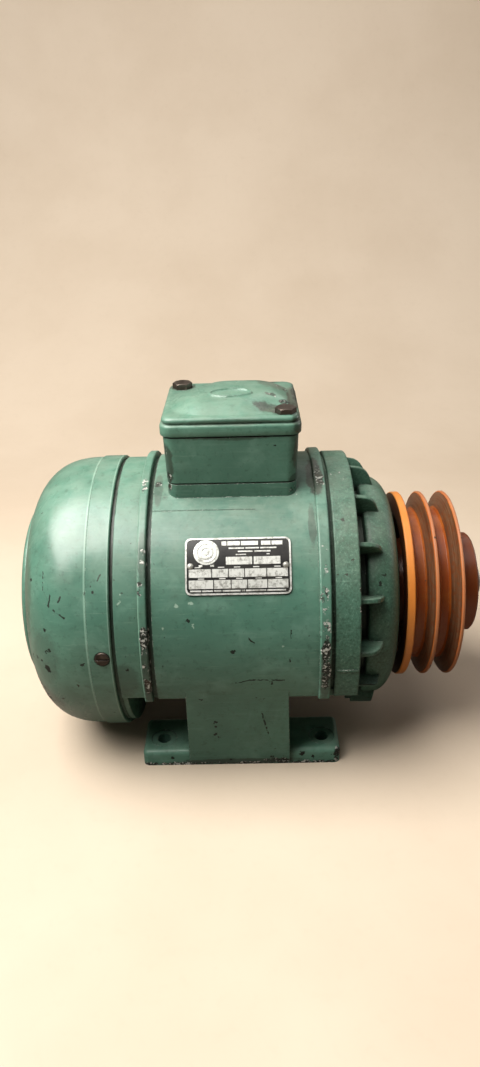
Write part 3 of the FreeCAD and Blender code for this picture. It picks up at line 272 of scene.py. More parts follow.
def paint(name, rough, dents, specks, edge, dirt_and_shade, bright, base=GREEN, dark=GREEN_DARK,
          light=GREEN_LIGHT, peel=0.00006, peel_scale=420.0, brush=0.00005, speck_size=1.0,
          edge_r=0.0011, grain=0.0, coat=0.25, low_z=None, pocket_shade=0.0, worn=(), soil=(),
          chips=(), pale=(), scratches=(), gap_shade_bands=(), highlight_ridges=()):
    """Old gloss enamel over iron.

    dents, peel, brush: bump heights        specks, edge, dirt_and_shade, grain: amounts, 0 to about 1
    bright: bare metal in the worn places   low_z: wear below this height
    pocket_shade: painted shade, a dark ring in the drive shield   edge_r: radius of the rounded edges
    worn, soil: (centre, radii, strength)   chips, pale: (centre, radius), largest first
    scratches: (start, end, width)          gap_shade_bands: painted shade in gaps, (x start, x end, strength)
    highlight_ridges: painted highlight lines, (x, half width, strength)
    """
    mat = Graph(name)
    big = mat.noise(7.0, 3.0, 0.5)
    mid = mat.noise(38.0, 4.0, 0.6)
    fine = mat.noise(peel_scale, 2.0, 0.5)
    lump = mat.noise(120.0, 2.0, 0.5)
    streak = mat.noise(1.0, 3.0, 0.6, mat.stretch(26.0, 240.0, 240.0))
    if low_z or gap_shade_bands or highlight_ridges:
        x, _, z = mat.sep(mat.pos)
    col = enamel(mat, big, mid, streak, base, dark, light)
    # brownish film, then small dark spots
    film = mat.noise(16.0, 5.0, 0.65, distortion=0.6)
    col = col.tint(srgb(84, 92, 66), film.ramp(0.50, 0.8) * (0.34 * dirt_and_shade))
    col = col.tint(srgb(44, 70, 56), mat.noise(230.0, 4.0, 0.65).ramp(0.54, 0.70) * 0.34)
    # painted shade and grime: darker in corners and joints, from the ambient occlusion
    occlusion = mat.occlusion(0.010)
    crease_shade_and_grime = (occlusion + (mid - 0.5) * 0.7).ramp(0.25, 0.88, 1.0, 0.0)
    col = col.tint(srgb(36, 38, 26), crease_shade_and_grime * (0.72 * dirt_and_shade))
    # rubbed edges
    rounded = mat.bevel(edge_r)
    normal = mat.normal()
    edges = mat.edges(rounded, normal) * occlusion.ramp(0.35, 0.75)
    edge_noise = mat.noise(110.0, 4.0, 0.7)
    edge_mask = (edges * 0.55 + edge_noise * 0.9).ramp(0.86 - 0.18 * edge, 0.93 - 0.16 * edge)
    rub = edges * (edge_noise.ramp(0.30, 0.65) * (0.75 * edge))
    # lost flakes
    jitter = mat.vmath("SUBTRACT", mat.noise(320.0, 3.0, 0.6, colour=True), (0.5, 0.5, 0.5))
    ragged = mat.warp(jitter, 0.0064) if chips else None
    chip = lost_flakes(mat, jitter, ragged, specks, speck_size, chips, scratches)
    # places worn through to iron
    wear_noise = mat.noise(170.0, 5.0, 0.70)
    wear = edge_mask
    for centre, radii, strength in worn:
        spot = mat.blob(centre, radii) * (0.42 * strength) + wear_noise
        wear = wear.max(spot.ramp(0.76, 0.82))
    if low_z:
        low = z.ramp(low_z * 0.25, low_z, 1.0, 0.0)
        wear = wear.max((low * 0.36 + wear_noise).ramp(0.78, 0.86))
    bare = mat.noise(460.0, 4.0, 0.66) + wear_noise.ramp(0.5, 0.75) * 0.30
    bare = bare.ramp(0.70 - 0.16 * bright, 0.76 - 0.14 * bright)
    under = mat.mix(bare, mat.mix(mid.ramp(0.50, 0.66), PRIMER, RUST), BARE_IRON)
    # layers over the enamel
    col = col.tint(srgb(148, 186, 164), rub)
    if grain:
        cast = mat.noise(480.0, 4.0, 0.66)
        col = col.tint(srgb(40, 62, 50), cast.ramp(0.50, 0.64) * grain)
        col = col.tint(srgb(140, 172, 152), cast.ramp(0.44, 0.36) * (grain * 0.5))
    # painted shade: dark strips in the gaps at the shield's joints
    for start, end, strength in gap_shade_bands:
        band = x.ramp(start - 0.0004, start) * x.ramp(end, end + 0.0004, 1.0, 0.0)
        band = band * mid.ramp(0.25, 0.5, 0.7, 1.0) * z.ramp(0.09, 0.19, 0.30, 1.0)
        col = col.tint(srgb(14, 22, 14), band * strength)
    for centre, radii, strength in soil:
        patch = mat.blob(centre, radii, 0.15) * 0.75 + mat.noise(95.0, 6.0, 0.72)
        col = col.tint(srgb(40, 40, 30), patch.ramp(0.74, 0.98) * strength)
    # painted shade: a dark ring in the hollow between the drive shield's ring and its dome
    if pocket_shade:
        along, radius = mat.radial()
        ring = along.ramp(0.0896, 0.0904) * along.ramp(0.0978, 0.1000, 1.0, 0.0)
        ring = ring * radius.ramp(0.0895, 0.0940, 1.0, 0.0)
        col = col.tint(srgb(16, 24, 18), ring * pocket_shade)
    # painted highlights: light lines along the steps of the casting
    for centre, half_width, strength in highlight_ridges:
        line = abs(x - centre).ramp(half_width, half_width * 0.2)
        line = line * mid.ramp(0.2, 0.6, 0.55, 1.0)
        col = col.tint(srgb(158, 194, 174), line * strength)
    for centre, radius in pale:
        spot = mat.vmath("DISTANCE", ragged, centre).ramp(radius * 0.7, radius, 1.0, 0.0)
        col = col.tint(srgb(172, 196, 178), spot * 0.65)
    col = col.tint(mat.mix(mid.ramp(0.46, 0.66), srgb(15, 26, 20), srgb(30, 27, 19)), chip)
    col = col.tint(under, wear)
    # pale dusting and painted sheen on upward faces: the tops are lightened
    upward = mat.sep(normal)[2]
    dust_and_sheen = upward.ramp(0.15, 0.95) * mat.noise(60.0, 4.0, 0.6).ramp(0.25, 0.70) * 0.18
    mat.set("Base Color", col.tint(srgb(182, 190, 172), dust_and_sheen))
    # gloss: duller under film, dirt and dust, and where the paint is gone
    damage = chip.max(wear)
    gloss = rough + (film - 0.5) * 0.35 + crease_shade_and_grime * 0.25 + dust_and_sheen * 0.5
    mat.set("Roughness", mat.mix(damage, mat.comb(gloss, gloss, gloss), (0.55, 0.55, 0.55)))
    mat.set("Metallic", wear * bare * 0.35)
    mat.set("Specular IOR Level", 0.5)
    mat.set("Coat Weight", (1.0 - damage) * coat)
    mat.set("Coat Roughness", 0.20 + film.ramp(0.4, 0.7) * 0.22)
    height = fine * peel + big * dents + mid * (dents * 0.16) + lump * (peel * 2.2)
    height = height + streak * brush
    if grain:
        height = height + cast * (grain * 0.00055)
    # on the heavily chipped pieces only the edges are sunk
    height = height - (edge_mask if len(chips) > 8 else wear) * 0.00018
    mat.set("Normal", mat.bump(height, rounded))
    return mat.material


# ------------------------------------------------------------- other materials
def metal(name, col, second, rough, noise_scale, bump, dirt_and_shade, metallic=1.0, edge=0.3,
          streak=None):
    """Metal mottled between two colours, with light edges, and painted shade with grime in the
    corners.
    """
    mat = Graph(name)
    dark = (0.03, 0.025, 0.02)
    light = tuple(min(1.0, channel * 1.6 + 0.05) for channel in col)
    coarse = mat.noise(noise_scale, 5.0, 0.65)
    fine = mat.noise(noise_scale * 7, 3.0, 0.6)
    tone = mat.mix(coarse.ramp(0.35, 0.68), col, second)
    tone = tone.tint(dark, fine.ramp(0.5, 0.75) * 0.25)
    height = fine * bump
    if streak:
        lines = mat.noise(1.0, 3.0, 0.7, mat.stretch(*streak))
        tone = tone.tint(second, lines.ramp(0.42, 0.7) * 0.35)
        height = height + lines * (bump * 2)
    # painted shade with grime: darker in the corners, from the ambient occlusion
    corners = mat.occlusion(0.006) + coarse * 0.3
    tone = tone.tint(dark, corners.ramp(0.45, 1.0, 1.0, 0.0) * dirt_and_shade)
    rounded = mat.bevel(0.0006)
    tone = tone.tint(light, mat.edges(rounded, mat.normal(), start=0.82) * edge)
    mat.set("Base Color", tone)
    mat.set("Metallic", metallic)
    mat.set("Roughness", rough + (coarse - 0.5) * 0.3)
    mat.set("Normal", mat.bump(height, rounded))
    return mat.material


def plain(name, col, second, rough, noise_scale=50.0, bump=0.00008, specular=0.5, sheen=0.0,
          coat=0.0):
    """Non-metal mottled between two colours."""
    mat = Graph(name)
    coarse = mat.noise(noise_scale, 4.0, 0.6)
    fine = mat.noise(noise_scale * 9, 3.0, 0.6)
    tone = mat.mix(coarse.ramp(0.35, 0.7), col, second)
    # painted shade: darker in the corners, from the ambient occlusion
    corners = mat.occlusion(0.005, samples=3).ramp(0.4, 1.0, 1.0, 0.0)
    mat.set("Base Color", tone.tint((0.02, 0.018, 0.015), corners * 0.5))
    mat.set("Roughness", rough + (fine - 0.5) * 0.2)
    mat.set("Specular IOR Level", specular)
    if sheen:
        mat.set("Sheen Weight", sheen)
    if coat:
        mat.set("Coat Weight", coat)
        mat.set("Coat Roughness", 0.15)
    mat.set("Normal", mat.bump(fine * bump, mat.bevel(0.0004, samples=3)))
    return mat.material


def pulley_paint():
    """Orange paint: whole on the rims and hub, rubbed to dull iron where the belts run."""
    mat = Graph("paint_orange_pulley")
    x, radius = mat.radial()
    angle = mat.angle()
    turned = mat.noise(1.0, 4.0, 0.65, mat.comb(x * 900.0, radius * 900.0, angle * 1.6))
    broad = mat.noise(1.0, 3.0, 0.6, mat.comb(x * 260.0, radius * 260.0, angle * 3.0))
    mid = mat.noise(45.0, 4.0, 0.6)
    fine = mat.noise(300.0, 4.0, 0.62)
    col = mat.mix(mid.ramp(0.35, 0.7), srgb(206, 98, 26), srgb(228, 130, 50))
    col = col.tint(srgb(168, 78, 30), fine.ramp(0.5, 0.72) * 0.25)
    # belt tracks: two grooves, outward of their floors
    groove_1 = x.ramp(0.1374, 0.1382) * x.ramp(0.1526, 0.1534, 1.0, 0.0)
    groove_2 = x.ramp(0.1557, 0.1563) * x.ramp(0.1726, 0.1734, 1.0, 0.0)
    track = groove_1.max(groove_2) * radius.ramp(0.0632, 0.0662)
    track = (track * 0.75 + (broad - 0.5) * 0.9).ramp(0.42, 0.62)
    worn = mat.mix(turned.ramp(0.35, 0.7), srgb(84, 62, 44), srgb(132, 108, 84))
    worn = worn.tint(srgb(128, 66, 30), fine.ramp(0.45, 0.66) * 0.6)
    # painted shade in the corners, a brown film, then painted shade on the hub and the groove
    # floors
    crease_shade_and_grime = (mat.occlusion(0.012) + (fine - 0.5) * 0.5).ramp(0.25, 0.8, 1.0, 0.0)
    col = col.tint(srgb(74, 34, 14), crease_shade_and_grime * 0.55)
    col = col.tint(srgb(150, 74, 30), mat.noise(22.0, 5.0, 0.65).ramp(0.42, 0.72) * 0.45)
    col = col.tint(srgb(120, 52, 18), radius.ramp(0.0425, 0.0405) * 0.6)
    col = col.tint(srgb(108, 46, 14), radius.ramp(0.0636, 0.0622) * 0.75)
    col = col.tint(worn, track * 0.88)
    # the face turned to the shield is darkened: painted shade in the gap by the shield, with
    # grime
    shield_gap_shade_and_grime = x.ramp(0.1312, 0.1322, 1.0, 0.0) * radius.ramp(0.0420, 0.0440)
    col = col.tint(srgb(26, 16, 10), shield_gap_shade_and_grime * 0.86)
    # rims: dull on the outer ones, fresh on the one by the shield
    rounded = mat.bevel(0.0009)
    edges = mat.edges(rounded, mat.normal())
    rim = radius.ramp(0.0774, 0.0780)
    col = col.tint(srgb(176, 116, 78), rim * x.ramp(0.150, 0.152, 0.0, 0.75))
    col = col.tint(srgb(236, 150, 66), rim * x.ramp(0.1402, 0.1380, 0.0, 0.65))
    edge_mask = (edges * 0.4 + fine).ramp(0.78, 0.90)
    col = col.tint(srgb(176, 150, 124), edge_mask)
    # chips
    jitter = mat.noise(300.0, 2.0, colour=True)
    distance, colour = mat.voronoi(140.0, mat.warp(jitter, 0.003))
    size = mat.sep(colour)[0].ramp(0.9, 1.0, 0.0, 0.22, smooth=False)
    chip = mat.flakes(distance, size, fade=0.04)
    mat.set("Base Color", col.tint(srgb(58, 42, 32), chip))
    mat.set("Metallic", track * 0.45 + edge_mask * 0.4)
    mat.set("Roughness", 0.42 + (mid - 0.5) * 0.3 + track * -0.04)
    mat.set("Coat Weight", (1.0 - track.max(chip)) * 0.15)
    mat.set("Coat Roughness", 0.25)
    height = turned * 0.00006 + fine * 0.00009 - chip.max(edge_mask) * 0.0001
    mat.set("Normal", mat.bump(height - track * 0.00006, rounded))
    return mat.material


def laminated():
    """Stack of 0.5 mm sheets across X, with dark gaps."""
    per_metre = 2000.0
    mat = Graph("sheet_stack")
    x, y, z = mat.sep(mat.pos)
    gap = abs(mat.math("FRACT", x * per_metre) - 0.5).ramp(0.36, 0.48)
    tone = mat.noise(1.0, 2.0, 0.5, mat.comb(x * per_metre, y * 30.0, z * 30.0))
    col = mat.mix(tone.ramp(0.35, 0.65), srgb(120, 122, 128), srgb(84, 86, 92))
    mat.set("Base Color", col.tint((0.02, 0.02, 0.02), gap * 0.7))
    mat.set("Metallic", 0.85)
    mat.set("Roughness", 0.38 + tone * 0.2)
    mat.set("Normal", mat.bump(gap * -0.00008))
    return mat.material


def coils():
    """Varnished copper wires running around the shaft's axis."""
    mat = Graph("varnished_coils")
    x, radius = mat.radial()
    wires = mat.noise(1.0, 2.0, 0.5, mat.comb(x * 1300.0, radius * 1300.0, mat.angle() * 5.0))
    col = mat.mix(wires.ramp(0.35, 0.65), srgb(112, 52, 22), srgb(176, 96, 46))
    col = col.tint(srgb(70, 36, 18), mat.noise(50.0, 4.0).ramp(0.45, 0.7) * 0.4)
    mat.set("Base Color", col)
    mat.set("Metallic", 0.35)
    mat.set("Roughness", 0.32)
    mat.set("Coat Weight", 0.5)
    mat.set("Coat Roughness", 0.2)
    mat.set("Normal", mat.bump(wires * 0.0004))
    return mat.material


def braid():
    """Cloth sleeve: two crossed sine waves."""
    waves_per_metre = 5200.0       # radians per metre
    thread = srgb(58, 52, 44)
    mat = Graph("braided_sleeve")
    x, y, z = mat.sep(mat.pos)
    one = mat.math("SINE", (x + y + z) * waves_per_metre)
    other = mat.math("SINE", (x + y * -1.0 - z) * waves_per_metre)
    weave = (one * other + 1.0) * 0.5
    col = mat.mix(weave, thread, srgb(104, 94, 74))
    shade = tuple(channel * 0.4 for channel in thread)
    mat.set("Base Color", col.tint(shade, mat.noise(80.0, 3.0) * 0.4))
    mat.set("Roughness", 0.75)
    mat.set("Sheen Weight", 0.2)
    mat.set("Normal", mat.bump(weave * 0.00012))
    return mat.material


def plate_silver():
    """Worn silver of the nameplate's raised parts."""
    mat = Graph("plate_silver_worn")
    fine = mat.noise(260.0, 5.0, 0.7)
    coarse = mat.noise(60.0, 4.0, 0.6)
    streak = mat.noise(1.0, 3.0, 0.7, mat.stretch(420.0, 60.0, 60.0))
    col = mat.mix(fine.ramp(0.32, 0.54), srgb(150, 150, 142), srgb(232, 234, 228))
    col = col.tint(srgb(104, 104, 96), streak.ramp(0.54, 0.74) * 0.35)
    col = col.tint(srgb(130, 122, 100), coarse.ramp(0.60, 0.78) * 0.22)
    mat.set("Base Color", col)
    mat.set("Metallic", 0.35)
    mat.set("Roughness", 0.26 + coarse * 0.22)
    mat.set("Normal", mat.bump(fine * 0.00008 + streak * 0.00004))
    return mat.material


# ------------------------------------------------------- the painted castings
MATS = {}
MATS["frame"] = paint(
    "paint_frame", rough=0.40, dents=0.0008, specks=0.7, edge=0.8, dirt_and_shade=0.7, low_z=0.006,
    bright=0.95, brush=0.00009,
    soil=[((0.0600, -0.030, 0.233), (0.010, 0.050, 0.016), 0.85),
          ((0.0560, -0.070, 0.210), (0.005, 0.030, 0.030), 0.55),
          ((0.0640, -0.1155, 0.110), (0.008, 0.02, 0.050), 0.55),
          ((-0.0600, -0.040, 0.228), (0.006, 0.040, 0.014), 0.5),
          ((0.049, -0.049, 0.232), (0.008, 0.008, 0.012), 0.8),
          ((0.0, -0.0920, 0.004), (0.080, 0.010, 0.006), 0.6),
          ((-0.0540, -0.048, 0.232), (0.010, 0.010, 0.014), 0.6)],
    worn=[((0.0640, -0.112, 0.1310), (0.0062, 0.03, 0.018), 0.95),
          ((0.0645, -0.113, 0.112), (0.0060, 0.03, 0.030), 0.90),
          ((0.0640, -0.1155, 0.140), (0.0056, 0.03, 0.055), 0.52),
          ((0.0625, -0.104, 0.172), (0.0060, 0.03, 0.012), 0.7),
          ((0.0640, -0.09, 0.190), (0.0050, 0.03, 0.030), 0.5),
          ((0.030, -0.095, 0.004), (0.024, 0.012, 0.007), 0.85),
          ((0.079, -0.091, 0.008), (0.007, 0.012, 0.012), 0.9),
          ((-0.0520, -0.046, 0.233), (0.005, 0.008, 0.007), 0.8),
          ((0.0445, -0.047, 0.230), (0.007, 0.006, 0.008), 0.8),
          ((0.064, -0.030, 0.233), (0.006, 0.030, 0.008), 0.8),
          ((-0.0605, -0.0325, 0.230), (0.004, 0.005, 0.004), 1.2)],
    chips=[((0.049, -0.0908, 0.0100), 0.0024), ((-0.0600, -0.0320, 0.2301), 0.0022),
           ((-0.0187, -0.0997, 0.0355), 0.0022), ((0.0241, -0.0942, 0.0098), 0.0022),
           ((-0.0211, -0.1036, 0.0542), 0.0021), ((-0.0205, -0.1026, 0.0493), 0.0019),
           ((-0.0091, -0.0932, 0.0054), 0.0019), ((0.0340, -0.0941, 0.0095), 0.0019),
           ((-0.0053, -0.1146, 0.1292), 0.0018), ((-0.0307, -0.1084, 0.0818), 0.0018),
           ((-0.0614, -0.0345, 0.2296), 0.0018), ((-0.0210, -0.1005, 0.0394), 0.0018),
           ((-0.058, -0.0908, 0.0080), 0.0018), ((0.058, -0.0908, 0.0070), 0.0017),
           ((-0.0369, -0.1098, 0.1539), 0.0016), ((0.0241, -0.1131, 0.0993), 0.0016)],
    pale=[((-0.0453, -0.1059, 0.1645), 0.0016), ((-0.0350, -0.1052, 0.1664), 0.0016),
          ((-0.0554, -0.1111, 0.1491), 0.0013), ((-0.0334, -0.1107, 0.1501), 0.0012),
          ((0.0323, -0.1142, 0.1335), 0.0012)],
    scratches=[((0.0067, -0.1130, 0.1402), (0.0110, -0.1138, 0.1363), 0.0009),
               ((0.0383, -0.1119, 0.1458), (0.0375, -0.1149, 0.1195), 0.0007),
               ((-0.0032, -0.1132, 0.0999), (0.0075, -0.1137, 0.1028), 0.0008),
               ((0.0075, -0.1137, 0.1028), (0.0331, -0.1135, 0.1021), 0.0009),
               ((0.0162, -0.1057, 0.0640), (0.0225, -0.0989, 0.0319), 0.0011),
               ((0.0225, -0.0989, 0.0319), (0.0241, -0.0933, 0.0058), 0.0007),
               ((-0.0397, -0.0971, 0.0233), (-0.0282, -0.0970, 0.0230), 0.0008),
               ((0.0306, -0.0972, 0.0240), (0.0363, -0.0972, 0.0238), 0.0008)])
MATS["drive"] = paint(
    "paint_drive_shield", rough=0.46, peel=0.00010, peel_scale=300.0, dents=0.0006,
    specks=0.85, edge=1.15, edge_r=0.0010, pocket_shade=0.75, dirt_and_shade=0.9, grain=0.50, coat=0.08,
    bright=0.5, light=GREEN, base=GREEN_DARK, dark=srgb(66, 102, 82),
    worn=[((0.080, -0.03, 0.2316), (0.014, 0.02, 0.008), 0.45),
          ((0.0905, -0.10, 0.165), (0.003, 0.03, 0.05), 0.6)],
    chips=[((0.1104, -0.0770, 0.1715), 0.0015), ((0.0790, -0.0966, 0.1823), 0.0014),
           ((0.1070, -0.0814, 0.1654), 0.0013), ((0.0791, -0.0676, 0.2129), 0.0012),
           ((0.0846, -0.0902, 0.1911), 0.0011), ((0.0732, -0.0964, 0.1823), 0.0010),
           ((0.0815, -0.1136, 0.1372), 0.0010), ((0.0713, -0.1136, 0.1374), 0.0010),
           ((0.0743, -0.1045, 0.1677), 0.0009)])
MATS["fan_end"] = paint(
    "paint_fan_shield", rough=0.40, peel=0.00008, dents=0.0006, specks=0.75, edge=0.9,
    dirt_and_shade=0.8, bright=1.05,
    highlight_ridges=[(-0.0734, 0.0007, 0.45)],
    soil=[((-0.0694, -0.1165, 0.115), (0.007, 0.02, 0.060), 0.62),
          ((-0.0694, -0.090, 0.195), (0.006, 0.03, 0.04), 0.45),
          ((-0.088, -0.115, 0.100), (0.020, 0.02, 0.030), 0.35)],
    worn=[((-0.0694, -0.1165, 0.1430), (0.0054, 0.03, 0.013), 1.30),
          ((-0.0694, -0.1182, 0.1180), (0.0046, 0.03, 0.050), 0.62),
          ((-0.0693, -0.1155, 0.1000), (0.0046, 0.03, 0.014), 0.95),
          ((-0.0715, -0.1035, 0.1772), (0.0036, 0.03, 0.010), 0.8),
          ((-0.0690, -0.0900, 0.195), (0.0040, 0.03, 0.02), 0.6),
          ((-0.070, -0.04, 0.230), (0.005, 0.04, 0.01), 0.6)],
    chips=[((-0.0848, -0.1148, 0.1258), 0.0019), ((-0.0836, -0.1147, 0.1139), 0.0017),
           ((-0.0849, -0.1117, 0.1467), 0.0014), ((-0.0870, -0.1060, 0.1650), 0.0009)],
    pale=[((-0.0876, -0.1047, 0.1673), 0.0022), ((-0.0858, -0.1020, 0.1720), 0.0015)],
    gap_shade_bands=[(-0.0960, -0.0924, 0.92), (-0.0664, -0.0640, 0.6)])
MATS["cover"] = paint(
    "paint_fan_cover", rough=0.34, peel=0.00004, dents=0.0012, specks=0.55, edge=0.5,
    dirt_and_shade=0.45, coat=0.5, bright=0.3, brush=0.00002,
    highlight_ridges=[(-0.1128, 0.0011, 0.55), (-0.0958, 0.0006, 0.5)],
    soil=[((-0.150, -0.085, 0.075), (0.030, 0.03, 0.030), 0.45),
          ((-0.160, -0.075, 0.150), (0.012, 0.03, 0.060), 0.35),
          ((-0.145, -0.100, 0.120), (0.022, 0.03, 0.040), 0.30)],
    worn=[((-0.152, -0.088, 0.072), (0.012, 0.02, 0.010), 0.7)],
    chips=[((-0.1457, -0.1066, 0.1123), 0.0029), ((-0.1444, -0.1071, 0.1098), 0.0022),
           ((-0.1539, -0.1004, 0.1181), 0.0019), ((-0.1547, -0.0931, 0.0844), 0.0019),
           ((-0.1440, -0.1048, 0.1453), 0.0017), ((-0.1557, -0.0817, 0.1751), 0.0016),
           ((-0.1443, -0.1073, 0.1273), 0.0016), ((-0.1423, -0.1082, 0.1297), 0.0016),
           ((-0.1170, -0.1138, 0.1195), 0.0016), ((-0.1065, -0.1010, 0.1748), 0.0015),
           ((-0.1587, -0.0946, 0.1160), 0.0014), ((-0.1502, -0.1036, 0.1176), 0.0013),
           ((-0.1234, -0.1116, 0.0996), 0.0013), ((-0.1079, -0.0992, 0.1780), 0.0011),
           ((-0.1505, -0.045, 0.213), 0.0011), ((-0.1126, -0.1008, 0.1732), 0.0010)],
    scratches=[((-0.1402, -0.1008, 0.1636), (-0.1384, -0.0978, 0.1712), 0.0009),
               ((-0.1402, -0.1008, 0.1636), (-0.1281, -0.1067, 0.1566), 0.0010),
               ((-0.1322, -0.1016, 0.1673), (-0.1306, -0.1003, 0.1708), 0.0010),
               ((-0.1444, -0.0862, 0.1842), (-0.1443, -0.0936, 0.1731), 0.0006),
               ((-0.1028, -0.0968, 0.1816), (-0.1006, -0.0946, 0.1853), 0.0008),
               ((-0.1539, -0.0871, 0.0699), (-0.1379, -0.1035, 0.0814), 0.0010)])
MATS["box"] = paint(
    "paint_terminal_box", rough=0.38, dents=0.0005, specks=0.35, speck_size=0.8, edge=0.6,
    dirt_and_shade=0.95, bright=0.15,
    worn=[((-0.0515, -0.046, 0.240), (0.005, 0.010, 0.010), 0.7),
          ((-0.0530, -0.044, 0.262), (0.003, 0.008, 0.020), 0.6)],
    soil=[((-0.0515, -0.044, 0.252), (0.009, 0.014, 0.030), 0.75),
          ((0.0475, -0.042, 0.256), (0.010, 0.014, 0.026), 0.60),
          ((-0.003, -0.048, 0.274), (0.060, 0.010, 0.006), 0.55),
          ((0.046, -0.046, 0.238), (0.012, 0.010, 0.008), 0.6)],
    chips=[((0.030, -0.0482, 0.266), 0.0010), ((0.040, -0.0475, 0.268), 0.0009)])
MATS["lid"] = paint(
    "paint_terminal_lid", rough=0.33, peel=0.00004, dents=0.0006, specks=0.30,
    speck_size=0.8, edge=0.55, dirt_and_shade=0.75, coat=0.4, bright=0.2, base=srgb(102, 147, 126),
    soil=[((0.030, -0.030, 0.2905), (0.026, 0.016, 0.010), 0.80),
          ((0.0455, 0.000, 0.290), (0.009, 0.050, 0.012), 0.85),
          ((0.015, 0.044, 0.290), (0.036, 0.010, 0.010), 0.75),
          ((-0.043, 0.034, 0.290), (0.020, 0.018, 0.008), 0.65),
          ((0.030, 0.020, 0.292), (0.020, 0.024, 0.012), 0.50),
          ((-0.003, -0.0475, 0.284), (0.060, 0.006, 0.004), 0.40),
          ((0.047, -0.044, 0.282), (0.010, 0.010, 0.012), 0.60)],
    worn=[((0.041, -0.020, 0.290), (0.014, 0.014, 0.010), 0.75),
          ((0.0478, 0.012, 0.288), (0.006, 0.036, 0.008), 0.95),
          ((0.020, 0.046, 0.288), (0.016, 0.006, 0.008), 0.8),
          ((0.030, -0.010, 0.2955), (0.012, 0.010, 0.006), 0.72),
          ((-0.043, 0.030, 0.290), (0.016, 0.014, 0.008), 0.5),
          ((0.038, 0.020, 0.292), (0.010, 0.022, 0.010), 0.62)])

# ---------------------------------------------------------- the other pieces
MATS["pulley"] = pulley_paint()
MATS["bolt"] = metal("steel_oxidised", srgb(104, 94, 86), srgb(60, 50, 43), rough=0.40,
                     metallic=0.80, noise_scale=120.0, bump=0.0001, edge=0.5, dirt_and_shade=0.6)
MATS["bright"] = metal("steel_ground", srgb(168, 166, 162), srgb(132, 128, 122), rough=0.30,
                       noise_scale=70.0, bump=0.00002, dirt_and_shade=0.35, streak=(1400.0, 60.0, 60.0))
MATS["bearing"] = metal("steel_bearing", srgb(200, 200, 202), srgb(172, 172, 174), rough=0.12,
                        noise_scale=50.0, bump=0.000004, dirt_and_shade=0.3, edge=0.1)
MATS["aluminium"] = metal("aluminium_cast", srgb(176, 176, 174), srgb(140, 140, 138),
                          rough=0.48, noise_scale=60.0, bump=0.00010, dirt_and_shade=0.5)
MATS["brass"] = metal("brass_dull", srgb(176, 138, 70), srgb(128, 96, 48), rough=0.36,
                      noise_scale=90.0, bump=0.00003, dirt_and_shade=0.5)
MATS["tin"] = metal("tinned_copper", srgb(184, 180, 170), srgb(150, 142, 130), rough=0.35,
                    noise_scale=120.0, bump=0.00003, dirt_and_shade=0.4)
MATS["sheets"] = laminated()
MATS["coil"] = coils()
MATS["bakelite"] = plain("bakelite", srgb(58, 34, 24), srgb(40, 22, 16), rough=0.32, coat=0.3)
MATS["rubber"] = plain("rubber_seal", srgb(28, 28, 27), srgb(40, 39, 36), rough=0.75)
MATS["felt"] = plain("oiled_felt", srgb(92, 82, 62), srgb(60, 52, 38), rough=0.95,
                     noise_scale=220.0, bump=0.0003, sheen=0.4)
MATS["wire"] = braid()
MATS["plate_field"] = plain("plate_black_field", srgb(26, 26, 26), srgb(44, 43, 40),
                            rough=0.34, noise_scale=70.0, bump=0.00003, specular=0.6)
MATS["plate_silver"] = plate_silver()
MATS["rivet"] = metal("aluminium_rivet", srgb(196, 196, 188), srgb(128, 126, 116), rough=0.34,
                      metallic=0.35, noise_scale=160.0, bump=0.00003, dirt_and_shade=0.5)

# material: the CAD pieces that wear it
PIECES = {
    "frame": "stator_frame",
    "drive": "drive_end_shield drive_bearing_cap",
    "fan_end": "fan_end_shield",
    "cover": "fan_cover",
    "box": "terminal_box_body",
    "lid": "terminal_lid",
    "pulley": "pulley",
    "bolt": "fan_cover_screws lid_bolts tie_bolts bearing_cap_screws pulley_set_screw",
    "rivet": "nameplate_rivets",
    "bright": "terminal_box_screws shaft pulley_key fan_key fan_circlip fan_bearing_cap "
              "fan_bearing_cap_screws wave_washer",
    "bearing": "drive_bearing_outer_ring drive_bearing_inner_ring drive_bearing_balls "
               "fan_bearing_outer_ring fan_bearing_inner_ring fan_bearing_balls",
    "brass": "drive_bearing_cage fan_bearing_cage terminal_block_screws terminal_studs "
             "terminal_nuts link_bars earth_screw cable_gland_body cable_gland_nut",
    "aluminium": "rotor_cage fan drive_bearing_inner_cap",
    "tin": "lead_lugs",
    "sheets": "stator_core rotor_core",
    "coil": "stator_winding",
    "bakelite": "terminal_block",
    "rubber": "terminal_box_gasket lid_gasket cable_gland_seal",
    "felt": "shaft_seal",
    "wire": "lead_wires",
    "plate_field": "nameplate",
}
PIECE_MATS = {piece: MATS[key] for key, names in PIECES.items() for piece in names.split()}
for piece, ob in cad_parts.items():
    if not ob.material_slots:
        ob.data.materials.append(PIECE_MATS[piece])
    for slot in ob.material_slots:
        slot.link = "OBJECT"
        slot.material = PIECE_MATS[piece]


# ------------------------------------------------------------------ mesh tools
def shade(mesh, sharp_angle, fix_normals=False):
    """Smooth faces, with edges sharper than sharp_angle degrees kept crisp."""
    bm = bmesh.new()
    bm.from_mesh(mesh)
    if fix_normals:
        bmesh.ops.recalc_face_normals(bm, faces=bm.faces)
    for edge in bm.edges:
        if len(edge.link_faces) == 2 and edge.calc_face_angle(0.0) > math.radians(sharp_angle):
            edge.smooth = False
    for face in bm.faces:
        face.smooth = True
    bm.to_mesh(mesh)
    bm.free()


def add_mesh(name, verts, faces, material, body, slot, sharp_angle):
    mesh = bpy.data.meshes.new(name)
    mesh.from_pydata(verts, [], faces)
    mesh.validate()
    mesh.materials.append(material)
    ob = bpy.data.objects.new(name, mesh)
    SCENE.collection.objects.link(ob)
    shade(mesh, sharp_angle, fix_normals=True)
    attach(ob, body)
    return ob


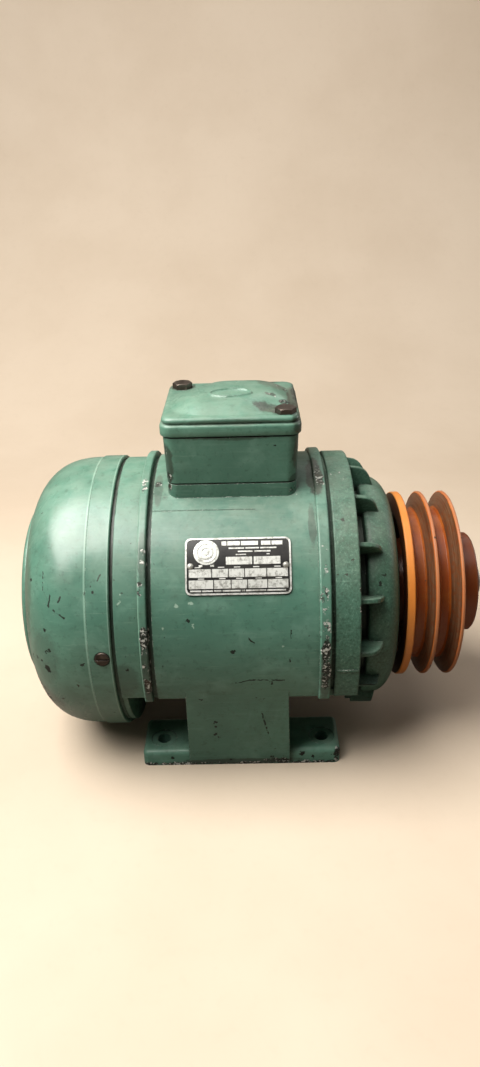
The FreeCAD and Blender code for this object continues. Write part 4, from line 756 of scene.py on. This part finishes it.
def ring_faces(first, second, count, flip=False):
    """Quads between two closed rings that start at the given vertex numbers."""
    faces = []
    for i in range(count):
        j = (i + 1) % count
        if flip:
            faces.append((first + j, first + i, second + i, second + j))
        else:
            faces.append((first + i, first + j, second + j, second + i))
    return faces


def rounded_rect(u0, u1, v0, v1, radius, steps=6):
    points = []
    corners = ((u1 - radius, v1 - radius, 0), (u0 + radius, v1 - radius, 90),
               (u0 + radius, v0 + radius, 180), (u1 - radius, v0 + radius, 270))
    for cu, cv, start in corners:
        for k in range(steps + 1):
            angle = math.radians(start + 90.0 * k / steps)
            points.append((cu + radius * math.cos(angle), cv + radius * math.sin(angle)))
    return points


def subdivide(outline, step=0.0022):
    """Add points to a closed outline so that it can bend."""
    points = []
    for i, start in enumerate(outline):
        end = outline[(i + 1) % len(outline)]
        count = max(1, int(math.hypot(end[0] - start[0], end[1] - start[1]) / step))
        for j in range(count):
            t = j / count
            points.append((start[0] + (end[0] - start[0]) * t,
                           start[1] + (end[1] - start[1]) * t))
    return points


def resample(outline, count, x0=0.0, y0=0.0):
    """The closed outline as count evenly spaced points, moved by (x0, y0)."""
    closed = outline + [outline[0]]
    lengths = [0.0]
    for start, end in zip(outline, closed[1:]):
        lengths.append(lengths[-1] + math.hypot(end[0] - start[0], end[1] - start[1]))
    points = []
    i = 0
    for k in range(count):
        target = lengths[-1] * k / count
        while lengths[i + 1] < target:
            i += 1
        t = (target - lengths[i]) / max(1e-9, lengths[i + 1] - lengths[i])
        start, end = closed[i], closed[i + 1]
        points.append((x0 + start[0] + (end[0] - start[0]) * t,
                       y0 + start[1] + (end[1] - start[1]) * t))
    return points


# ------------------------------------------------------------- nameplate relief
PLATE_R = BARREL_R + 0.0009    # the plate's face, around the shaft's axis
PLATE_ANGLE = 37.0             # degrees up from -Y
PLATE_X = 0.0006
PLATE_W, PLATE_H = 0.0776, 0.0424
SUNK = -0.0001                 # relief starts just below the face

# The layout is in fractions of the plate's width and height, y measured down.
# value cells: y start, y end, then (x start, x end) of each
CELL_ROWS = (
    (0.345, 0.482, ((0.385, 0.633), (0.648, 0.900))),
    (0.553, 0.698, ((0.034, 0.246), (0.254, 0.404), (0.412, 0.556), (0.564, 0.764),
                    (0.772, 0.966))),
    (0.745, 0.893, ((0.034, 0.264), (0.272, 0.428), (0.436, 0.582), (0.590, 0.771),
                    (0.779, 0.968))),
)
# plain rules in place of headings: x start, x end, y start, y end
HEADINGS = (
    (0.346, 0.392, 0.066, 0.142), (0.402, 0.520, 0.066, 0.142), (0.530, 0.692, 0.066, 0.142),
    (0.721, 0.810, 0.066, 0.142), (0.820, 0.923, 0.066, 0.142), (0.413, 0.560, 0.178, 0.206),
    (0.572, 0.700, 0.178, 0.206), (0.712, 0.865, 0.178, 0.206), (0.500, 0.640, 0.238, 0.264),
    (0.654, 0.808, 0.238, 0.264), (0.480, 0.577, 0.296, 0.316), (0.770, 0.800, 0.292, 0.312),
)
# small bars over the cells: y start, then x starts
COLUMN_BARS = ((0.515, (0.09, 0.31, 0.46, 0.64, 0.84)),
               (0.712, (0.12, 0.32, 0.48, 0.66, 0.85)))
# rules along the bottom: x start, x end
FOOT_RULES = ((0.045, 0.150), (0.160, 0.262), (0.272, 0.340), (0.350, 0.520),
              (0.530, 0.560), (0.570, 0.760), (0.770, 0.945))
# turned rings of the round boss: radius, height
BOSS_PROFILE = (
    (0.0094, -0.0001), (0.0094, 0.00018), (0.0092, 0.00027), (0.0087, 0.00027),
    (0.0085, 0.00012), (0.0080, 0.00011), (0.0078, 0.00022), (0.0062, 0.00023),
    (0.0060, 0.00012), (0.0056, 0.00012), (0.0054, 0.00024), (0.0030, 0.00026),
    (0.0028, 0.00016), (0.0025, 0.00016), (0.0023, 0.00028), (0.0010, 0.00031),
)


def on_plate(u, v, height):
    """Point at u along X and v up the curve from the plate's centre, height above its face."""
    angle = math.radians(PLATE_ANGLE) + v / PLATE_R
    radius = PLATE_R + height
    return (PLATE_X + u, -radius * math.cos(angle), SHAFT_Z + radius * math.sin(angle))


def cell(x0, x1, y0, y1):
    """Layout fractions to u0, u1, v0, v1."""
    return (-PLATE_W / 2 + x0 * PLATE_W, -PLATE_W / 2 + x1 * PLATE_W,
            PLATE_H / 2 - y1 * PLATE_H, PLATE_H / 2 - y0 * PLATE_H)


def plate_pad(area, corner, top):
    """Low bevelled panel that follows the plate's curve."""
    u0, u1, v0, v1 = cell(*area)
    base = subdivide(rounded_rect(u0, u1, v0, v1, corner))
    count = len(base)
    bevel = min(0.00012, (top - SUNK) * 0.6)
    verts = []
    for inset, height in ((0, SUNK), (0, top - bevel), (bevel, top)):
        verts += [on_plate(max(u0 + inset, min(u1 - inset, u)),
                           max(v0 + inset, min(v1 - inset, v)), height) for u, v in base]
    faces = ring_faces(0, count, count) + ring_faces(count, 2 * count, count)
    faces.append(tuple(range(2 * count, 3 * count)))
    faces.append(tuple(reversed(range(count))))
    return verts, faces


def make_pads():
    pads = []
    for y0, y1, spans in CELL_ROWS:
        pads += [plate_pad((x0, x1, y0, y1), corner=0.0003, top=0.00022) for x0, x1 in spans]
    pads += [plate_pad(area, corner=0.00015, top=0.00018) for area in HEADINGS]
    for y, starts in COLUMN_BARS:
        pads += [plate_pad((x, x + 0.06, y, y + 0.018), corner=0.0001, top=0.00012)
                 for x in starts]
    pads += [plate_pad((x0, x1, 0.918, 0.944), corner=0.0001, top=0.00012)
             for x0, x1 in FOOT_RULES]
    # two short blocks below the boss
    pads += [plate_pad((x, x + 0.036, 0.478, 0.515), corner=0.0002, top=0.00020)
             for x in (0.128, 0.238)]
    verts, faces = [], []
    for pad_verts, pad_faces in pads:
        first = len(verts)
        verts += pad_verts
        faces += [tuple(i + first for i in face) for face in pad_faces]
    return verts, faces


def make_border():
    """Raised frame around the plate's edge."""
    count, top = 120, 0.00030
    outer = rounded_rect(*cell(0, 1, 0, 1), 0.0040)
    inner = rounded_rect(*cell(0.016, 0.984, 0.030, 0.970), 0.0030)
    outer, inner = [resample(subdivide(outline), count) for outline in (outer, inner)]
    verts, faces = [], []
    for loop, height in ((outer, SUNK), (outer, top), (inner, top), (inner, SUNK)):
        verts += [on_plate(u, v, height) for u, v in loop]
    for k in range(4):
        faces += ring_faces(k * count, (k + 1) % 4 * count, count)
    return verts, faces


def make_boss():
    """A blank round boss with turned rings."""
    cu, cv = -PLATE_W / 2 + 0.201 * PLATE_W, PLATE_H / 2 - 0.260 * PLATE_H
    segments, rows = 72, len(BOSS_PROFILE)
    verts, faces = [], []
    for i in range(segments):
        angle = 2 * math.pi * i / segments
        verts += [on_plate(cu + radius * math.cos(angle), cv + radius * math.sin(angle), height)
                  for radius, height in BOSS_PROFILE]
    top = segments * rows
    verts += [on_plate(cu, cv, 0.00032), on_plate(cu, cv, SUNK)]
    for i in range(segments):
        here, after = i * rows, (i + 1) % segments * rows
        for k in range(rows - 1):
            faces.append((here + k, after + k, after + k + 1, here + k + 1))
        faces.append((here + rows - 1, after + rows - 1, top))
        faces.append((here, top + 1, after))
    return verts, faces


for name, make in (("nameplate_cells", make_pads), ("nameplate_border", make_border),
                   ("nameplate_rings", make_boss)):
    add_mesh(name, *make(), MATS["plate_silver"], "stator", "plate_metal", sharp_angle=35)


# ---------------------------------------------------------------- terminal lid
low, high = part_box("terminal_lid")
LID_X, LID_Y = (low.x + high.x) / 2, (low.y + high.y) / 2
LID_HALF_X, LID_HALF_Y = (high.x - low.x) / 2, (high.y - low.y) / 2
LID_BASE_Z = low.z
LID_RIM_Z = SHAFT_Z + 0.1678
LID_CROWN_Z = SHAFT_Z + 0.1760
LID_CORNER = 0.0095
LID_COUNT = 240                # points around the lid
LID_WALL = 0.0046              # thickness under the crown
BOLTS = ((-0.0430, 0.0355), (0.0380, -0.0370))
BOLT_HOLE_R = 0.0040
BOSS_R, BOSS_SLOPE = 0.0095, 0.0012
SPOT_FACE_R = 0.0098
HOLLOW_Z = 0.0106              # top of the hollow's wall above the base

# side from the bottom edge up over a band, a groove and a bead to the rim: inset, height
LID_SIDE = (
    (0.0050, 0.0), (0.0012, 0.0), (0.0004, 0.0002), (0.0, 0.0010), (0.0, 0.0035),
    (0.0, 0.0066), (0.0003, 0.0078), (0.0010, 0.0086), (0.0017, 0.0088), (0.0021, 0.0090),
    (0.0023, 0.0093), (0.0020, 0.0098), (0.0015, 0.0104), (0.0014, 0.0114),
    (0.0017, 0.0124), (0.0025, 0.0134), (0.0036, 0.01395), (0.0048, 0.01425),
)
# wall of the hollow from below: inset, height
LID_HOLLOW = ((0.0062, 0.0002), (0.0068, 0.0010), (0.0072, 0.0060), (0.0080, 0.0098),
              (0.0096, HOLLOW_Z))


def clamp(value):
    return max(0.0, min(1.0, value))


def ease(t):
    return t * t * (3 - 2 * t)


def rect_distance(x, y, half_x, half_y, radius):
    """Signed distance to a rounded rectangle, negative inside."""
    qx, qy = abs(x) - (half_x - radius), abs(y) - (half_y - radius)
    return math.hypot(max(qx, 0), max(qy, 0)) + min(max(qx, qy), 0) - radius


def smooth_max(first, second, width):
    blend = max(width - abs(first - second), 0.0) / width
    return max(first, second) + blend * blend * width * 0.25


def lid_top(x, y):
    """Height of the lid's face: flat rim and bolt corners, then a soft crowned pillow."""
    distance = rect_distance(x - LID_X, y - LID_Y + 0.0006, LID_HALF_X - 0.0070,
                             LID_HALF_Y - 0.0068, 0.027)
    for bx, by in BOLTS:
        distance = smooth_max(distance, 0.0162 - math.hypot(x - bx, y - by), 0.010)
    t = clamp(-distance / 0.0185)
    pillow = 0.62 * (1.0 - (1.0 - t) ** 2.6) + 0.38 * ease(t)
    dome = 1.0 - 0.13 * (((x - LID_X) / LID_HALF_X) ** 2 + ((y - LID_Y) / LID_HALF_Y) ** 2)
    z = LID_RIM_Z + (LID_CROWN_Z - LID_RIM_Z - 0.0011) * pillow * dome
    # plain oval ring on the crown, with a faint pad inside it
    oval = math.hypot((x - LID_X) / 0.0172, (y - LID_Y + 0.0100) / 0.0108)
    ring = ease(clamp((1.0 - oval) / 0.055) * clamp((oval - 0.84) / 0.055))
    pad = ease(clamp((0.62 - oval) / 0.10))
    z += 0.00125 * ring + 0.00030 * pad
    # spot faces under the bolt heads
    for bx, by in BOLTS:
        reach = math.hypot(x - bx, y - by)
        if reach < SPOT_FACE_R:
            k = clamp((SPOT_FACE_R - reach) / 0.0006)
            z = z * (1 - k) + (LID_RIM_Z - 0.0007) * k
    return z


def hollow_amount(x, y):
    """0 in the solid bosses around the bolts, 1 in the hollow."""
    return clamp((min(math.hypot(x - bx, y - by) for bx, by in BOLTS) - BOSS_R) / BOSS_SLOPE)


def lid_ceiling(x, y):
    """Height of the hollow's ceiling."""
    ceiling = min(lid_top(x, y) - LID_WALL, LID_BASE_Z + HOLLOW_Z + 0.006)
    return LID_BASE_Z + (ceiling - LID_BASE_Z) * hollow_amount(x, y)


def lid_outline(inset):
    half_x, half_y = LID_HALF_X - inset, LID_HALF_Y - inset
    outline = rounded_rect(-half_x, half_x, -half_y, half_y, LID_CORNER - inset * 0.55, 10)
    return resample(subdivide(outline, 0.0005), LID_COUNT, LID_X, LID_Y)


def close_to_centre(verts, faces, ring, steps, height, centre_z, flip):
    """Fill inside a ring with ever smaller copies of it and a centre point."""
    base = [vert[:2] for vert in verts[ring:ring + LID_COUNT]]
    for k in range(1, steps):
        size = 1.0 - k / steps
        smaller = len(verts)
        for x, y in base:
            px, py = LID_X + (x - LID_X) * size, LID_Y + (y - LID_Y) * size
            verts.append((px, py, height(px, py)))
        faces += ring_faces(ring, smaller, LID_COUNT, flip)
        ring = smaller
    centre = len(verts)
    verts.append((LID_X, LID_Y, centre_z))
    for i in range(LID_COUNT):
        here, after = ring + i, ring + (i + 1) % LID_COUNT
        faces.append((after, here, centre) if flip else (here, after, centre))


def drill_bolt_holes(ob):
    cutters = []
    for k, (bx, by) in enumerate(BOLTS):
        bm = bmesh.new()
        bmesh.ops.create_cone(bm, cap_ends=True, segments=40, radius1=BOLT_HOLE_R,
                              radius2=BOLT_HOLE_R, depth=0.06,
                              matrix=Matrix.Translation((bx, by, LID_BASE_Z + 0.01)))
        mesh = bpy.data.meshes.new("cutter%d" % k)
        bm.to_mesh(mesh)
        bm.free()
        cutter = bpy.data.objects.new("cutter%d" % k, mesh)
        SCENE.collection.objects.link(cutter)
        cutters.append(cutter)
        hole = ob.modifiers.new("hole%d" % k, "BOOLEAN")
        hole.operation = "DIFFERENCE"
        hole.solver = "EXACT"
        hole.object = cutter
    bpy.context.view_layer.update()
    depsgraph = bpy.context.evaluated_depsgraph_get()
    drilled = bpy.data.meshes.new_from_object(ob.evaluated_get(depsgraph))
    ob.modifiers.clear()
    ob.data = drilled
    for cutter in cutters:
        bpy.data.objects.remove(cutter)
    shade(drilled, sharp_angle=50)


def make_lid():
    """Cast lid with a crowned face, a hollow underside and two bolt holes."""
    verts, faces = [], []
    for inset, rise in LID_SIDE:
        verts += [(x, y, LID_BASE_Z + rise) for x, y in lid_outline(inset)]
    rim = (len(LID_SIDE) - 1) * LID_COUNT
    for ring in range(0, rim, LID_COUNT):
        faces += ring_faces(ring, ring + LID_COUNT, LID_COUNT)
    centre_z = lid_top(LID_X, LID_Y)
    close_to_centre(verts, faces, rim, 90, lid_top, centre_z, flip=False)
    # the hollow starts from the first ring, the inner one of the bottom edge
    ring = 0
    for inset, rise in LID_HOLLOW:
        upper = len(verts)
        verts += [(x, y, LID_BASE_Z + rise * hollow_amount(x, y))
                  for x, y in lid_outline(inset)]
        faces += ring_faces(ring, upper, LID_COUNT, flip=True)
        ring = upper
    close_to_centre(verts, faces, ring, 40, lid_ceiling, centre_z - LID_WALL, flip=True)
    ob = add_mesh("terminal_lid_cast", verts, faces, MATS["lid"], "lid", "paint_green_box",
                  sharp_angle=55)
    drill_bolt_holes(ob)
    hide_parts("terminal_lid")


make_lid()


# -------------------------------------------------------------- floor and world
FLOOR_HALF_W = 3.2
FLOOR_NEAR_Y = -2.2
SWEEP_Y, SWEEP_R = 0.55, 0.9   # where the floor starts to rise, and its radius
WALL_TOP_Z = 3.2


def floor_material():
    mat = Graph("floor_pale")
    fine = mat.noise(90.0, 4.0, 0.6)
    col = mat.mix(mat.noise(3.0, 4.0, 0.6).ramp(0.3, 0.7), srgb(206, 188, 166),
                  srgb(214, 197, 176))
    col = col.tint(srgb(180, 160, 136), fine.ramp(0.5, 0.8) * 0.08)
    # darker to all but the camera, so that it throws little light back
    to_camera = mat.node("LightPath", output="Is Camera Ray")
    mat.set("Base Color", mat.mix(to_camera, mat.mix(0.78, col, srgb(64, 56, 44)), col))
    mat.set("Roughness", 0.62)
    mat.set("Normal", mat.bump(fine * 0.00006))
    # far from the lights a glow keeps the pale tone
    mat.set("Emission Color", col)
    far = mat.vmath("LENGTH", mat.pos).ramp(1.7, 3.0, 0.0, 0.42)
    mat.set("Emission Strength", to_camera * far)
    return mat.material


def make_floor():
    """Floor that sweeps up into a wall on the +Y side."""
    profile = [(FLOOR_NEAR_Y, 0.0)]
    for k in range(41):
        angle = math.radians(90.0 * k / 40)
        profile.append((SWEEP_Y + SWEEP_R * math.sin(angle),
                        SWEEP_R - SWEEP_R * math.cos(angle)))
    profile.append((SWEEP_Y + SWEEP_R, WALL_TOP_Z))
    verts = [(x, y, z) for y, z in profile for x in (-FLOOR_HALF_W, FLOOR_HALF_W)]
    faces = [(2 * k, 2 * k + 1, 2 * k + 3, 2 * k + 2) for k in range(len(profile) - 1)]
    material = floor_material()
    mesh = bpy.data.meshes.new("studio_floor")
    mesh.from_pydata(verts, [], faces)
    mesh.materials.append(material)
    for polygon in mesh.polygons:
        polygon.use_smooth = True
    ob = bpy.data.objects.new("studio_floor", mesh)
    SCENE.collection.objects.link(ob)


def make_world():
    """Background that is pale to the camera and faint as a light."""
    world = bpy.data.worlds.new("studio")
    SCENE.world = world
    world.use_nodes = True
    tree = world.node_tree
    background = tree.nodes["Background"]
    background.inputs[0].default_value = (*srgb(240, 232, 222), 1.0)
    light_path = tree.nodes.new("ShaderNodeLightPath")
    strength = tree.nodes.new("ShaderNodeMapRange")
    strength.inputs["To Min"].default_value = 0.030
    strength.inputs["To Max"].default_value = 0.50
    tree.links.new(light_path.outputs["Is Camera Ray"], strength.inputs[0])
    tree.links.new(strength.outputs[0], background.inputs[1])


make_floor()
make_world()

# ---------------------------------------------------------------------- lights
# name, location, target, size x, size y, watts, colour
LIGHTS = (
    ("key_top", (-0.70, -0.25, 1.40), (-0.02, -0.02, 0.15), 1.25, 1.1, 49.0, (1.0, 0.97, 0.925)),
    ("fill_top", (0.45, 0.05, 1.70), (0.0, 0.0, 0.15), 1.2, 0.9, 4.5, (1.0, 0.97, 0.93)),
    ("fill_front", (-0.1, -1.9, 1.05), (0.0, 0.0, 0.12), 1.2, 0.8, 0.4, (1.0, 0.96, 0.92)),
    ("fill_back", (0.5, 1.3, 1.2), (0.0, 0.0, 0.12), 1.0, 0.8, 3.0, (1.0, 0.97, 0.94)),
    ("fill_drive_end", (1.55, 0.55, 0.60), (0.1, 0.0, 0.12), 0.8, 0.8, 4.0, (1.0, 0.97, 0.94)),
)
for name, location, target, size_x, size_y, power, colour in LIGHTS:
    light = bpy.data.lights.new(name, "AREA")
    light.shape = "RECTANGLE"
    light.size = size_x
    light.size_y = size_y
    light.energy = power
    light.color = colour
    ob = bpy.data.objects.new(name, light)
    ob.location = location
    aim = Vector(target) - Vector(location)
    ob.rotation_euler = aim.to_track_quat("-Z", "Y").to_euler()
    SCENE.collection.objects.link(ob)

# ---------------------------------------------------------------------- camera
CAMERA_PLACE = (0.0098, -0.6056, 0.4694)
YAW, PITCH, ROLL = -0.014, 0.459, 0.027    # radians; yaw from +Y to +X, pitch downwards

level = Vector((math.sin(YAW), math.cos(YAW), 0))
side = Vector((math.cos(YAW), -math.sin(YAW), 0))
forward = level * math.cos(PITCH) + Vector((0, 0, -1)) * math.sin(PITCH)
down = forward.cross(side)
rolled_side = side * math.cos(ROLL) + down * math.sin(ROLL)
rolled_down = -side * math.sin(ROLL) + down * math.cos(ROLL)

camera_data = bpy.data.cameras.new("camera")
camera_data.sensor_width = 36.0
camera_data.lens = 26.9915651
camera_data.clip_start = 0.01
camera = bpy.data.objects.new("camera", camera_data)
SCENE.collection.objects.link(camera)
pose = Matrix((rolled_side, -rolled_down, -forward)).transposed().to_4x4()
pose.translation = CAMERA_PLACE
camera.matrix_world = pose
SCENE.camera = camera
SCENE.view_settings.view_transform = "Standard"
SCENE.view_settings.exposure = 0.0
